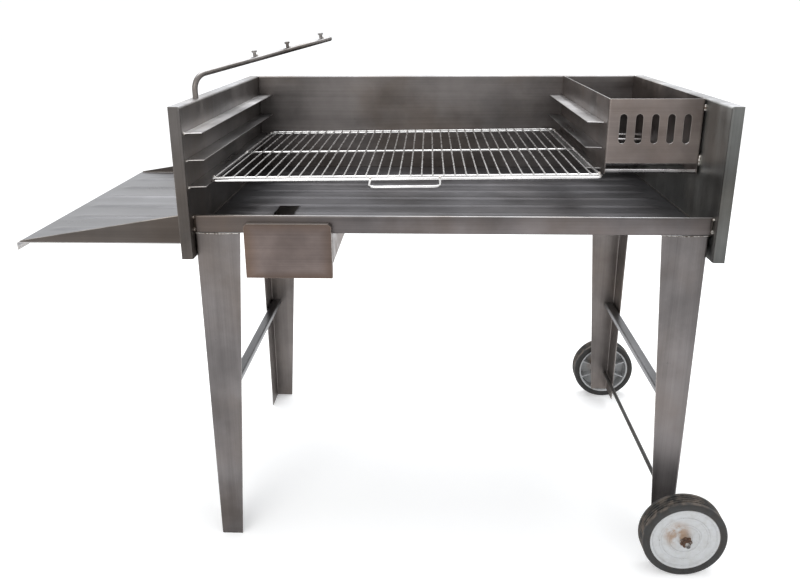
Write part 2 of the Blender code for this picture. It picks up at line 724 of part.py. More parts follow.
def make_shelf_bolts():
    """Bolts with their heads inside the side panel and nuts outside the shelf lip."""
    head_face = -WALL_IN + GAP
    nut_face = -WALL_OUT - 2 * GAP - SHEET
    for index, bolt_y in enumerate(SHELF_BOLTS, start=1):
        tip = nut_face - NUT_HEIGHT - BOLT_LENGTH_PAST_NUT
        head_top = head_face + BOLT_HEAD_HEIGHT
        shank = rod(bmesh.new(), (tip, bolt_y, BOLT_Z), (head_top - BOLT_RADIUS, bolt_y, BOLT_Z),
                    BOLT_RADIUS)
        head = rod(bmesh.new(), (head_face, bolt_y, BOLT_Z), (head_top, bolt_y, BOLT_Z),
                   BOLT_HEAD_RADIUS, sides=6)
        object_from(f"shelf_bolt_{index}", combine(shank, head, "UNION"), ZINC)
        nut = hex_nut((nut_face - NUT_HEIGHT, bolt_y, BOLT_Z), (nut_face, bolt_y, BOLT_Z),
                      BOLT_HEAD_RADIUS, BOLT_RADIUS + GAP)
        object_from(f"shelf_nut_{index}", nut, ZINC)


# ---- Ash drawer ---------------------------------------------------------------------------------
def make_drawer():
    """Folded drawer box with a larger face plate, carried by two runners under the floor."""
    right = DRAWER_LEFT + DRAWER_WIDTH
    slide = empty("drawer_slide", ((DRAWER_LEFT + right) / 2, DRAWER_FACE_Y, BOX_BOTTOM_Z))
    back_of_face = LIP_FRONT - 3 * GAP
    face = clipped(DRAWER_LEFT, right, DRAWER_BOTTOM, DRAWER_TOP, DRAWER_CORNER)
    plate = prism(bmesh.new(), face, "y", DRAWER_FACE_Y, back_of_face)
    hollow = block(bmesh.new(), (DRAWER_LEFT + SHEET, right - SHEET),
                   (DRAWER_FACE_Y + SHEET, back_of_face + CUT),
                   (DRAWER_BOTTOM - CUT, DRAWER_TOP - DRAWER_CORNER - SHEET))
    object_from("ash_drawer_front", combine(plate, hollow, "DIFFERENCE"), STEEL, slide)

    web = SHEET + GAP
    near = back_of_face + GAP
    far = near + DRAWER_DEPTH
    sides = (DRAWER_LEFT + web + GAP, right - web - GAP)
    box = block(bmesh.new(), sides, (near, far), (BOX_BOTTOM_Z, BOX_TOP_Z))
    inside = block(bmesh.new(), (sides[0] + SHEET, sides[1] - SHEET), (near + SHEET, far - SHEET),
                   (BOX_BOTTOM_Z + SHEET, BOX_TOP_Z + CUT))
    object_from("ash_drawer_box", combine(box, inside, "DIFFERENCE"), STEEL, slide)

    for name, edge, hand in (("left", DRAWER_LEFT, 1), ("right", right, -1)):
        upright = edge + hand * SHEET / 2
        foot = BOX_BOTTOM_Z - GAP - SHEET / 2
        outline = folded([(upright, FLOOR_BOTTOM - GAP), (upright, foot),
                          (upright + hand * RUNNER_FOOT, foot)], radius=SHEET / 4)
        runner = prism(bmesh.new(), outline, "y", RUNNER_FRONT, far)
        object_from(f"drawer_runner_{name}", runner, STEEL)


# ---- Swivel arm ---------------------------------------------------------------------------------
def arm_slope():
    """Run of the straight part for each metre of horizontal reach."""
    return Vector((cos(ARM_PLAN_ANGLE), sin(ARM_PLAN_ANGLE), ARM_RISE))


def arm_point(reach):
    """Point on the straight run, at a horizontal distance from the stub."""
    return Vector((ARM_X, ARM_Y, ARM_BEND_Z)) + arm_slope() * reach


def make_arm():
    """Bent round arm that swivels in a socket, with three headed pegs."""
    swivel = empty("arm_swivel", (ARM_X, ARM_Y, HEIGHT))
    corner = Vector((ARM_X, ARM_Y, ARM_BEND_Z))
    up = Vector((0.0, 0.0, 1.0))
    along = arm_slope().normalized()
    turn = up.angle(along)
    start = corner - up * ARM_BEND_RADIUS * tan(turn / 2)
    sideways = (along - up * along.dot(up)).normalized()
    centre = start + sideways * ARM_BEND_RADIUS
    path = [Vector((ARM_X, ARM_Y, SOCKET_BOTTOM + SOCKET_FLOOR + 3 * GAP))]
    steps = 6
    for step in range(steps + 1):
        angle = turn * step / steps
        path.append(centre + ARM_BEND_RADIUS * (up * sin(angle) - sideways * cos(angle)))
    path.append(arm_point(ARM_REACH))
    smooth(object_from("utensil_arm", wire(path, ARM_RADIUS, ROUND), STEEL, swivel))
    for index, reach in enumerate(PEG_PLACES, start=1):
        middle = arm_point(reach)
        normal = (up - along * up.dot(along)).normalized()
        foot = middle + normal * (ARM_RADIUS + GAP)
        peg = rod(bmesh.new(), foot, foot + normal * PEG_HEIGHT, PEG_RADIUS, sides=12)
        head_top = foot + normal * (PEG_HEIGHT + SHEET / 2)
        head = rod(bmesh.new(), head_top - normal * PEG_HEAD_HEIGHT, head_top, PEG_HEAD_RADIUS,
                   sides=12)
        smooth(object_from(f"arm_peg_{index}", combine(peg, head, "UNION"), STEEL, swivel))
    tube = rod(bmesh.new(), (ARM_X, ARM_Y, SOCKET_BOTTOM),
               (ARM_X, ARM_Y, HEIGHT - 2 * SHEET - BEND), SOCKET_RADIUS)
    inside = rod(bmesh.new(), (ARM_X, ARM_Y, SOCKET_BOTTOM + SOCKET_FLOOR),
                 (ARM_X, ARM_Y, HEIGHT + CUT), ARM_RADIUS + GAP)
    smooth(object_from("arm_socket", combine(tube, inside, "DIFFERENCE"), STEEL))


# ---- Build --------------------------------------------------------------------------------------
def clear_scene():
    for found in list(bpy.data.objects):
        bpy.data.objects.remove(found)


def centre_on_ground():
    """Move the stand so that the origin is under the middle of its bounding box."""
    middle_x = (SHELF_OUTER + AXLE_X + TYRE_RADIUS) / 2
    middle_y = sum(axle_ends()) / 2
    for found in bpy.data.objects:
        if not found.parent:
            found.location -= Vector((middle_x, middle_y, 0.0))


def build():
    clear_scene()
    make_side_panels()
    make_back_wall()
    make_fire_floor()
    make_ledges()
    make_ember_box()
    make_grid()
    make_legs()
    make_stretchers()
    make_axle()
    make_wheels()
    make_shelf()
    make_shelf_bolts()
    make_drawer()
    make_arm()
    centre_on_ground()


build()
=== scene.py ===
"""Looks of the barbecue stand: camera, lights, finishes and fine pieces round the CAD frame."""

import json
import math
import random

import bmesh
import bpy
from mathutils import Matrix, Vector


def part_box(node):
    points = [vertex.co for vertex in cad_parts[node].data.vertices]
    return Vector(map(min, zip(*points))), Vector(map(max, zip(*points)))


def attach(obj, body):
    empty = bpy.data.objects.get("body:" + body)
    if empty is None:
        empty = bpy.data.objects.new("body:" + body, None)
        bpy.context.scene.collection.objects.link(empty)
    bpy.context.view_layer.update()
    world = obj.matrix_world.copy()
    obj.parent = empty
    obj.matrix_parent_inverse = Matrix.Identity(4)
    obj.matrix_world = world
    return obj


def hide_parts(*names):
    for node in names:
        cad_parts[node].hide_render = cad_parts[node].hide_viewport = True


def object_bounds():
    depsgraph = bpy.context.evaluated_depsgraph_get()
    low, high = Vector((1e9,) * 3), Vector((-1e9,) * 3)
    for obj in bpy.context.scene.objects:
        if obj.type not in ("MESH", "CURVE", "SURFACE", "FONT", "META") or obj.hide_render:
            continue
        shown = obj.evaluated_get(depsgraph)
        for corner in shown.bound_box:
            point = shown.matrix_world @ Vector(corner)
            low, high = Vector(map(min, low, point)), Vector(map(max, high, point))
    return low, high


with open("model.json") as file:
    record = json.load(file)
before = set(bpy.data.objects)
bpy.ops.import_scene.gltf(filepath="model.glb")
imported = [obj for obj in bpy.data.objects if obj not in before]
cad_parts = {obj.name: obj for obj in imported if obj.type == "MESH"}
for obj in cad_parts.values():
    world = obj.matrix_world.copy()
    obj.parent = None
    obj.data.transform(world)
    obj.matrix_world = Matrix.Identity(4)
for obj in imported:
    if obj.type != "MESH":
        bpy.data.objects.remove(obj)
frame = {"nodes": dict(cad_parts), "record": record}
cad_low, cad_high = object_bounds()

JOINTS = {joint["name"]: Vector(joint.get("pos_m") or (0.0, 0.0, 0.0))
          for joint in frame["record"]["behaviour"]["joints"]}
OPENINGS = {opening["name"]: [Vector(corner) for corner in opening["box_m"]]
            for opening in frame["record"]["physics"]["openings"]}

# ---- Camera and studio, in metres, degrees and watts ---------------------------------------------
CAMERA_PLACE = (0.1015, -1.8177, 1.1771)
CAMERA_PITCH = 18.22            # below the horizon
CAMERA_YAW = 2.22               # towards -X
CAMERA_ROLL = -0.27
CAMERA_LENS = 34.31
CAMERA_SENSOR = 36.0
CAMERA_SHIFT = -0.0422
FLOOR_SIZE = 60.0
FLOOR_TONE = (0.86, 0.86, 0.86, 1.0)
FLOOR_GLOW = 0.30               # a little light of its own, so that it runs into the sky
FLOOR_ROUGHNESS = 0.9
LIGHTS = (                      # name, place, aim, size, watts, colour
    ("overhead", (0.0, 0.9, 3.2), (0.0, 0.1, 0.6), (3.6, 2.6), 95.0, (0.97, 0.98, 1.0)),
    ("front", (-1.4, -3.4, 2.4), (0.0, 0.0, 0.6), (2.4, 1.8), 40.0, (1.0, 0.98, 0.95)),
)
SKY_TONE = (0.98, 0.99, 1.0, 1.0)
SKY_STRENGTH = 1.03

# ---- Pieces, in metres ---------------------------------------------------------------------------
FIREBOX_FRONT = 0.1062          # the side panels' front, from the front of the whole stand
SHEET = 0.002
BEND = 0.003                    # middle radius of a fold
CAD_EDGE = 0.0005               # rounding of the CAD pieces' edges
CAD_JOIN = 0.00001              # CAD corners nearer than this are one
FOLD_ANGLE = 50.0               # degrees: sharper edges than this aren't smoothed

LIP_DROP = 0.036                # fire floor, below the lip's top
HEM = 0.006
HEM_DROP = 0.008
FIRST_BEAD = 0.0855             # first bead from the lip's front
BEAD_PITCH = 0.0742
BEAD_COUNT = 8
BEAD_WIDTH = 0.034
BEAD_RISE = 0.0028
BEAD_MARGIN = 0.027             # plain sheet past each end of a bead
BEAD_FADE = 0.030
BEAD_CREST = 1.2                # above 1, a bead is narrower at its top
FLOOR_ROW_STEP = 0.0035
FLOOR_END_STEP = 0.006          # columns where the beads fade out
FLOOR_MIDDLE_STEP = 0.05
OPENING_SNAP = 0.0018           # rows this near to the ash opening move to its edge
OPENING_MARGIN = 0.004          # the ash opening is wider than its clear box

SHELF_UPSTAND = 0.062
SHELF_LIP = 0.016
SHELF_INNER_LIP = 0.028
SHELF_BEADS = 6
SHELF_BEAD_RISE = 0.0030
SHELF_BEAD_WIDTH = 0.042
SHELF_BEAD_MARGIN = 0.015
SHELF_BEAD_FADE = 0.03
SHELF_ROW_STEP = 0.006
SHELF_COLUMN_STEP = 0.012
UPSTAND_START = 0.001           # height above the fold at the outer end
UPSTAND_GAP = 0.006             # to the side panel
UPSTAND_STEP = 0.03
UPSTAND_MARGIN = 0.002          # narrow columns at both ends keep the shading flat
UPSTAND_ROWS = (0.04, 0.96, 1.0)  # shares of its height

GRID_PITCH = 0.023
FRAME_WIRE = 0.003              # radii of the grid's wires
CROSS_WIRE = 0.0025
THIN_WIRE = 0.0018
CROSS_PLACES = (0.030, 0.328, 0.626)
THIN_OVERHANG = 0.002           # thin wires past the first and the last cross wire
GRID_RISE = 0.010               # the grid's right side lies this much higher
GRID_CORNER = 0.012
GRID_CORNER_STEPS = 6
GRID_CLEARANCE = 0.0003         # above the ledge it lies on
HANDLE_CENTRE = 0.4035          # from the grid's left side
HANDLE_WIDTH = 0.142
HANDLE_REACH = 0.047
HANDLE_DROOP = 0.005
HANDLE_CORNER = 0.014
HANDLE_WIRE = 0.0024
WIRE_SINK = 0.7                 # thin wires lie this share of their radius above the cross wires
GRID_WELD = 0.0036
GRID_WELD_LIFT = 0.6            # share of the frame wire's radius

ARM_RADIUS = 0.0062
ARM_PLAN_ANGLE = math.atan2(0.370, 0.244)
ARM_REACH = 0.443
ARM_RISE = 0.14
ARM_BEND_Z = 1.046
ARM_BEND = 0.034
ARM_BEND_STEPS = 12
ARM_FOOT = 0.01                 # straight length below the bend, at least
ARM_TIP = 0.0012                # length of the chamfer at the tip
ARM_TIP_SHARE = 0.82            # its radius at the end, as a share
PEG_PLACES = (0.180, 0.288, 0.408)
PEG_WELD = 0.0040
PEG_WELD_AHEAD = 0.005
PEG_WELD_LIFT = 0.9             # share of the arm's radius

STAND_WELD = 0.0032
BOX_TACKS = 5                   # tacks along the slit between the ember box and the panel
BOX_TACK_START = 0.03
BOX_TACK_PITCH = 0.12
SEAM = 0.0018                   # radius of the filled corners inside the firebox
REAR_SEAM_SHARE = 0.6
LEG_WELD = 0.0007
TYRE_RIM = 0.003                # the tyre is narrower by this at its inner edge
TYRE_SHOULDER = 0.006
TYRE_CLEARANCE = 0.0003         # between the disc and the tyre
TREAD_RIBS = 5
TREAD_GROOVE = 0.0030
GROOVE_TOP = 0.0024             # half widths of a groove
GROOVE_FOOT = 0.0014
DISC_FACE = 0.0035              # the web's face lies this far inside the tyre's side
DISC_BORE = 0.0053
DISC_RINGS = (0.052, 0.034)      # radii of the pressed rings
RING_FOOT = 0.0030              # half widths of a ring
RING_TOP = 0.0012
RING_DROP = 0.0012              # a ring's top, below the face
WEB_DROP = 0.003                # the web, below the face
RIM_SIDE = 0.003                # the rim's edge, inside the tyre's side
HUB_BACK = 0.013                # radii of the hub
HUB_COLLAR = 0.018
HUB_FRONT = 0.0122
WHEEL_RIBS = 8
RIB_START = 0.011
RIB_HALF = 0.0014               # half thickness of a rib
AXLE_CHAMFER = 0.001
AXLE_CORE = 0.0008              # centre hole in the axle's ends
AXLE_SIDES = 24
THREAD_PITCH = 0.00125
THREAD_DEPTH = 0.0006
THREAD_LENGTH = 0.030
THREAD_RUN_OUT = 0.002
NUT_BORE = 0.0054
NUT_SIDES = 48
NUT_CHAMFER = 0.98              # where the chamfer starts, as a share of the half width
NUT_EDGE = 0.72                 # where it ends, as a share of the half height
RUST_RING = 0.0095              # distance of the rust lumps from the axle
RUST_LUMP = 0.0042
RUST_LUMPS = 7
RUST_TURN = 0.9                 # radians from lump to lump

# ---- Tones: linear colour of each finish ---------------------------------------------------------
RAIL_TONE = (0.133, 0.121, 0.121)
DRAWER_TONE = (0.140, 0.113, 0.105)
# Painted light: lighter than the drawer's front, for the shaded inside seen through the ash opening
PAINTED_LIT_DRAWER_BOX_TONE = (0.300, 0.285, 0.280)
LEG_TONE = (0.150, 0.139, 0.138)
# Painted light: the same steel as the front legs, painted lighter where the rear legs stand in shade
PAINTED_LIT_REAR_LEG_TONE = (0.192, 0.174, 0.166)
STRETCHER_TONE = (0.190, 0.190, 0.196)
PANEL_TONE = (0.166, 0.154, 0.148)
# Painted light: the same steel as the left panel, painted lighter for the right panel's inner wall
PAINTED_LIT_RIGHT_PANEL_TONE = (0.300, 0.304, 0.294)
WALL_TONE = (0.150, 0.138, 0.134)
FIRE_TONE = (0.094, 0.092, 0.096)
LEDGE_TONE = (0.300, 0.292, 0.292)
# Painted light: the same steel as the lower ledges, painted lighter on the upper ledges
PAINTED_LIT_UPPER_LEDGE_TONE = (0.620, 0.610, 0.610)
SHELF_TONE = (0.214, 0.213, 0.222)
UPSTAND_TONE = (0.078, 0.068, 0.062)
BOX_TONE = (0.178, 0.151, 0.140)
# Dark seams: sooty welds, and partly painted shade in the firebox's corners
SEAM_AND_CORNER_SHADE_TONE = (0.060, 0.054, 0.050)
AXLE_TONE = (0.080, 0.078, 0.076)
# Painted highlight: a lighter tone painted on faces that face up, as light from above
PAINTED_TOP_LIGHT_TONE = (0.380, 0.380, 0.388)
# Edges and folds painted bright: rubbed wear, and a painted highlight where they catch the light
EDGE_WEAR_AND_HIGHLIGHT_TONE = (0.480, 0.460, 0.440)
EDGE_WIDTH = 0.0022             # strip along the edges and folds painted bright: rubbed wear and painted highlight
BROWN = (0.72, 0.63, 0.54, 1.0)  # multiplies a tone where heat has stained it
WIRE_TONE = (0.76, 0.75, 0.74)
WELD_BURNT_TONE = (0.12, 0.09, 0.07)
WELD_BRIGHT_TONE = (0.55, 0.53, 0.50)
RUBBER_TONE = (0.013, 0.013, 0.013)
DUST_TONE = (0.130, 0.106, 0.088)
PAINT_TONE = (0.43, 0.44, 0.45)
GRIME_TONE = (0.32, 0.31, 0.29)
HUB_RUST_TONE = (0.24, 0.14, 0.07)
SPECK_TONE = (0.10, 0.08, 0.07)
ZINC_TONE = (0.50, 0.50, 0.50)
DULL_ZINC_TONE = (0.28, 0.27, 0.26)
OLD_ZINC_TONE = (0.20, 0.18, 0.16)
DARK_ZINC_TONE = (0.09, 0.07, 0.06)
NUT_RUST_TONE = (0.085, 0.045, 0.028)

# ---- Where a finish changes: metres from a piece's edge, and the level reached there --------------
DRAWER_STAIN_LEFT = 0.040
DRAWER_STAIN_RIGHT = 0.030
DRAWER_STAIN_TOP = 0.026
DRAWER_STAIN_FOOT = 0.020
FLANGE_SHADE = (0.006, 0.002)   # behind the front of the side panels: starts, complete
LEFT_FLANGE_LEVEL = 0.55
# The right flange is darkened further, back from the painted light in its panel's lighter tone
RIGHT_FLANGE_LEVEL = 0.36
FLOOR_SHADE_LEFT = (0.22, 0.45)  # distance and level: painted shade near the firebox's side walls
FLOOR_SHADE_RIGHT = (0.25, 0.35)
# Painted light towards the rear of the fire floor: a level above 1 makes it lighter
PAINTED_FLOOR_LIGHT_REAR = (0.12, 1.35)
FOOT_SHADE = ("Z", 0.30, 0.0, 0.86)
RAIL_STAIN = ("X", 0.05, -0.35)
TREAD_SIDES = (0.0185, 0.0215)  # dust ends between these distances from a tyre's middle
HUB_RUST_PLACE = (-0.017, 0.0, 0.012)
HUB_RUST_REACH = (0.010, 0.040)
MOST = (0.25, 0.75)             # nearly all of a noise falls between these
MIDDLE = (0.3, 0.7)             # the greater part of it falls between these


# ---- Camera, lights and floor --------------------------------------------------------------------
def make_camera():
    data = bpy.data.cameras.new("camera")
    data.lens = CAMERA_LENS
    data.sensor_width = CAMERA_SENSOR
    data.shift_y = CAMERA_SHIFT
    data.dof.use_dof = False
    made = bpy.data.objects.new("camera", data)
    bpy.context.scene.collection.objects.link(made)
    pitch = math.radians(90.0 - CAMERA_PITCH)
    turn = Matrix.Rotation(math.radians(CAMERA_YAW), 4, "Z") @ Matrix.Rotation(pitch, 4, "X")
    turn = turn @ Matrix.Rotation(math.radians(CAMERA_ROLL), 4, "Z")
    made.matrix_world = Matrix.Translation(CAMERA_PLACE) @ turn
    bpy.context.scene.camera = made


def area_light(name, place, target, size, power, colour):
    data = bpy.data.lights.new(name, "AREA")
    data.shape = "RECTANGLE"
    data.size, data.size_y = size
    data.energy = power
    data.color = colour
    made = bpy.data.objects.new(name, data)
    made.location = place
    aim = Vector(target) - Vector(place)
    made.rotation_euler = aim.to_track_quat("-Z", "Y").to_euler()
    made.visible_camera = False
    bpy.context.scene.collection.objects.link(made)


def make_lights():
    for settings in LIGHTS:
        area_light(*settings)
    world = bpy.data.worlds.new("studio")
    world.use_nodes = True
    world.node_tree.nodes["Background"].inputs["Color"].default_value = SKY_TONE
    world.node_tree.nodes["Background"].inputs["Strength"].default_value = SKY_STRENGTH
    bpy.context.scene.world = world
    bpy.context.scene.view_settings.view_transform = "Standard"


def make_floor():
    bpy.ops.mesh.primitive_plane_add(size=FLOOR_SIZE, location=(0.0, 0.0, 0.0))
    floor = bpy.context.object
    floor.name = "studio_floor"
    shader = new_material("studio floor")[1]
    shader.inputs["Base Color"].default_value = FLOOR_TONE
    shader.inputs["Roughness"].default_value = FLOOR_ROUGHNESS
    shader.inputs["Emission Color"].default_value = SKY_TONE
    shader.inputs["Emission Strength"].default_value = FLOOR_GLOW
    floor.data.materials.append(bpy.data.materials["studio floor"])


# ---- Shader helpers ------------------------------------------------------------------------------
def new_material(name):
    """Make a material and return its node tree and its Principled shader."""
    made = bpy.data.materials.new(name)
    made.use_nodes = True
    return made.node_tree, made.node_tree.nodes["Principled BSDF"]


def add(tree, kind, inputs, **settings):
    """Add a shader node. Its inputs are plain values or the sockets that feed them."""
    node = tree.nodes.new(kind)
    for name, value in settings.items():
        setattr(node, name, value)
    for name, value in inputs.items():
        if isinstance(value, bpy.types.NodeSocket):
            tree.links.new(value, node.inputs[name])
        else:
            node.inputs[name].default_value = value
    return node


def own_place(tree):
    return add(tree, "ShaderNodeTexCoord", {}).outputs["Object"]


def noise(tree, scale, detail=4.0, seed=0.0):
    """Noise with its own number of cells per metre along each axis."""
    placed = add(tree, "ShaderNodeMapping", {"Vector": own_place(tree), "Scale": scale,
                                             "Location": (seed, seed * 1.7, -seed)})
    made = add(tree, "ShaderNodeTexNoise", {"Vector": placed.outputs["Vector"], "Scale": 1.0,
                                            "Detail": detail, "Roughness": 0.55})
    return made.outputs[0]


def streak(along, slow, fast):
    """Noise cells per metre for streaks drawn along an axis."""
    return tuple(slow if axis == along else fast for axis in "XYZ")


def between(tree, value, low, high, to_low=0.0, to_high=1.0):
    """Map a value softly from one range to another."""
    made = add(tree, "ShaderNodeMapRange", {"Value": value, "From Min": low, "From Max": high,
                                            "To Min": to_low, "To Max": to_high},
               interpolation_type="SMOOTHSTEP")
    return made.outputs["Result"]


def math_of(tree, operation, first, second):
    made = add(tree, "ShaderNodeMath", {0: first, 1: second}, operation=operation)
    return made.outputs["Value"]


def product(tree, *values):
    total = values[0]
    for value in values[1:]:
        total = math_of(tree, "MULTIPLY", total, value)
    return total


def mix(tree, share, first, second, blend="MIX"):
    """Mix two colours, each a socket or a plain colour."""
    made = add(tree, "ShaderNodeMix", {0: share, 6: opaque(first), 7: opaque(second)},
               data_type="RGBA", blend_type=blend)
    return made.outputs[2]


def opaque(colour):
    return colour if isinstance(colour, bpy.types.NodeSocket) else (*colour[:3], 1.0)


def scaled(tree, colour, level):
    """A colour made lighter or darker by a value."""
    made = add(tree, "ShaderNodeVectorMath", {0: colour if isinstance(colour, bpy.types.NodeSocket)
                                              else colour[:3], "Scale": level},
               operation="SCALE")
    return made.outputs["Vector"]


def axis_value(tree, axis):
    return add(tree, "ShaderNodeSeparateXYZ", {0: own_place(tree)}).outputs[axis]


# Mask of the faces that face up, where steel() paints the lighter top tone as light from above
def facing_up(tree):
    normal = add(tree, "ShaderNodeNewGeometry", {}).outputs["Normal"]
    rise = add(tree, "ShaderNodeSeparateXYZ", {0: normal}).outputs["Z"]
    return between(tree, rise, 0.5, 0.9)


def edge_mask(tree):
    """1 on the outward edges and folds of a piece, painted bright there: rubbed wear and a painted
    highlight where they catch the light.
    """
    rounded = add(tree, "ShaderNodeBevel", {"Radius": EDGE_WIDTH}, samples=4).outputs["Normal"]
    real = add(tree, "ShaderNodeNewGeometry", {}).outputs["True Normal"]
    match = add(tree, "ShaderNodeVectorMath", {0: rounded, 1: real}, operation="DOT_PRODUCT")
    return between(tree, match.outputs["Value"], 0.99, 0.88)


def bump(tree, height, distance, strength):
    made = add(tree, "ShaderNodeBump", {"Height": height, "Distance": distance,
                                        "Strength": strength})
    return made.outputs["Normal"]


# ---- Finishes ------------------------------------------------------------------------------------
def steel(name, tone, along, top=None, stain=0.35, rough=0.40, cloud=0.9, shade=(), rim=(),
          edge_wear_and_highlight=1.0):
    """Bare sheet steel: drawn streaks, a clouded tone, brown heat stain and an uneven gloss.

    `top` is a lighter tone painted on what faces up: a painted highlight of the light from above.
    `shade` holds (axis, from, to, level) for places where the sheet is made darker, or lighter
    where the level is above 1; on the fire floor this is painted shade near the side walls and
    painted light towards the rear. The level fades in from the first place to the second. `rim`
    holds (axis, from, to) for edges where the heat stain grows: it fades in the same way. The last
    argument is how far the edges and folds are painted bright: rubbed wear, and a painted
    highlight where they catch the light.
    """
    tree, shader = new_material(name)
    fine = noise(tree, streak(along, 3.0, 800.0), detail=2.0)
    drawn = noise(tree, streak(along, 1.2, 38.0), detail=5.0, seed=2.0)
    clouds = noise(tree, (6.0, 6.0, 6.0), detail=6.0, seed=5.0)
    patches = noise(tree, (4.0, 4.0, 4.0), detail=5.0, seed=9.0)
    specks = noise(tree, (130.0, 130.0, 130.0), detail=3.0, seed=4.0)
    level = product(tree, between(tree, fine, *MOST, 0.93, 1.07),
                    between(tree, drawn, *MOST, 0.84, 1.16),
                    between(tree, clouds, *MOST, 1.0 - cloud / 3, 1.0 + cloud / 3),
                    between(tree, specks, 0.70, 0.80, 1.0, 0.70))
    for axis, start, end, amount in shade:
        level = math_of(tree, "MULTIPLY", level,
                        between(tree, axis_value(tree, axis), start, end, 1.0, amount))
    # Painted highlight: faces that face up are mixed towards the lighter top tone
    base = mix(tree, facing_up(tree), tone, top) if top else tone
    # Edges and folds painted bright: rubbed wear and painted highlight
    rubbed_and_highlit = product(tree, edge_mask(tree), between(tree, clouds, 0.30, 0.65, 0.25, 0.8), edge_wear_and_highlight)
    colour = scaled(tree, mix(tree, rubbed_and_highlit, base, EDGE_WEAR_AND_HIGHLIGHT_TONE), level)
    brown = mix(tree, 1.0, colour, BROWN, blend="MULTIPLY")
    amount = product(tree, between(tree, patches, 0.42, 0.68), stain)
    for axis, start, end in rim:
        grown = product(tree, between(tree, axis_value(tree, axis), start, end),
                        between(tree, clouds, 0.30, 0.60, 0.5, 1.0))
        amount = math_of(tree, "MAXIMUM", amount, grown)
    tree.links.new(mix(tree, amount, colour, brown), shader.inputs["Base Color"])
    gloss = math_of(tree, "ADD", between(tree, drawn, *MIDDLE, rough - 0.06, rough + 0.06),
                    between(tree, clouds, *MIDDLE, -0.05, 0.05))
    tree.links.new(gloss, shader.inputs["Roughness"])
    tree.links.new(bump(tree, fine, 0.0001, 0.35), shader.inputs["Normal"])
    shader.inputs["Metallic"].default_value = 1.0


def wire_finish():
    """Bright plated wire with dull spots."""
    tree, shader = new_material("bright wire")
    spots = noise(tree, (60.0, 60.0, 60.0), detail=4.0)
    broad = noise(tree, (9.0, 9.0, 9.0), detail=3.0, seed=6.0)
    level = product(tree, between(tree, spots, *MIDDLE, 0.86, 1.0),
                    between(tree, broad, *MIDDLE, 0.85, 1.1))
    tree.links.new(scaled(tree, WIRE_TONE, level), shader.inputs["Base Color"])
    tree.links.new(between(tree, spots, *MIDDLE, 0.34, 0.22), shader.inputs["Roughness"])
    tree.links.new(bump(tree, broad, 0.0001, 0.1), shader.inputs["Normal"])
    shader.inputs["Metallic"].default_value = 1.0


def weld_finish():
    """Weld metal: rough, part bright and part burnt brown."""
    tree, shader = new_material("weld metal")
    grain = noise(tree, (240.0, 240.0, 240.0), detail=4.0)
    tree.links.new(mix(tree, between(tree, grain, 0.4, 0.6), WELD_BURNT_TONE, WELD_BRIGHT_TONE),
                   shader.inputs["Base Color"])
    tree.links.new(between(tree, grain, *MIDDLE, 0.55, 0.30), shader.inputs["Roughness"])
    tree.links.new(bump(tree, grain, 0.0006, 0.6), shader.inputs["Normal"])
    shader.inputs["Metallic"].default_value = 0.9


def rubber_finish():
    """Black rubber, brown-grey with dust on the tread and nearly clean on the sides."""
    tree, shader = new_material("dusty rubber")
    dust = noise(tree, (60.0, 60.0, 60.0), detail=7.0)
    broad = noise(tree, (22.0, 22.0, 22.0), detail=4.0, seed=3.0)
    aside = math_of(tree, "ABSOLUTE", axis_value(tree, "Y"), 0.0)
    tread = between(tree, aside, *TREAD_SIDES, 1.0, 0.12)
    share = product(tree, between(tree, dust, 0.36, 0.66), between(tree, broad, 0.28, 0.60), tread)
    tree.links.new(mix(tree, share, RUBBER_TONE, DUST_TONE), shader.inputs["Base Color"])
    tree.links.new(between(tree, dust, *MIDDLE, 0.55, 0.85), shader.inputs["Roughness"])
    tree.links.new(bump(tree, dust, 0.0006, 0.5), shader.inputs["Normal"])


def wheel_finish():
    """White paint with grime in the rings, specks, and rust that spreads from the hub."""
    tree, shader = new_material("wheel paint")
    grime = noise(tree, (90.0, 90.0, 90.0), detail=6.0)
    blots = noise(tree, (45.0, 45.0, 45.0), detail=5.0, seed=7.0)
    specks = noise(tree, (330.0, 330.0, 330.0), detail=2.0, seed=2.0)
    spread = add(tree, "ShaderNodeVectorMath", {0: own_place(tree), 1: HUB_RUST_PLACE},
                 operation="SUBTRACT").outputs["Vector"]
    flat = add(tree, "ShaderNodeVectorMath", {0: spread, 1: (1.0, 0.0, 1.0)},
               operation="MULTIPLY").outputs["Vector"]
    reach = add(tree, "ShaderNodeVectorMath", {0: flat}, operation="LENGTH").outputs["Value"]
    near_hub = between(tree, reach, *HUB_RUST_REACH, 1.0, 0.0)
    rust = product(tree, near_hub, between(tree, blots, 0.34, 0.58))
    paint = mix(tree, between(tree, grime, 0.35, 0.75, 0.0, 0.4), PAINT_TONE, GRIME_TONE)
    stained = mix(tree, product(tree, rust, 0.85), paint, HUB_RUST_TONE)
    dotted = mix(tree, between(tree, specks, 0.70, 0.74), stained, SPECK_TONE)
    tree.links.new(dotted, shader.inputs["Base Color"])
    tree.links.new(between(tree, grime, *MIDDLE, 0.38, 0.62), shader.inputs["Roughness"])
    tree.links.new(bump(tree, grime, 0.0003, 0.3), shader.inputs["Normal"])


def fastener_finish(name, bright, dark, rusty):
    """Zinc with tarnish; `rusty` is how much of it has turned to rust."""
    tree, shader = new_material(name)
    grain = noise(tree, (190.0, 190.0, 190.0), detail=5.0)
    rust = noise(tree, (95.0, 95.0, 95.0), detail=5.0, seed=8.0)
    zinc = mix(tree, between(tree, grain, 0.35, 0.65), bright, dark)
    share = between(tree, rust, 0.62 - 0.35 * rusty, 0.80 - 0.35 * rusty)
    tree.links.new(mix(tree, share, zinc, NUT_RUST_TONE), shader.inputs["Base Color"])
    tree.links.new(between(tree, share, 0.0, 1.0, 0.35, 0.85), shader.inputs["Roughness"])
    tree.links.new(between(tree, share, 0.0, 1.0, 1.0, 0.1), shader.inputs["Metallic"])
    tree.links.new(bump(tree, grain, 0.0005, 0.5), shader.inputs["Normal"])


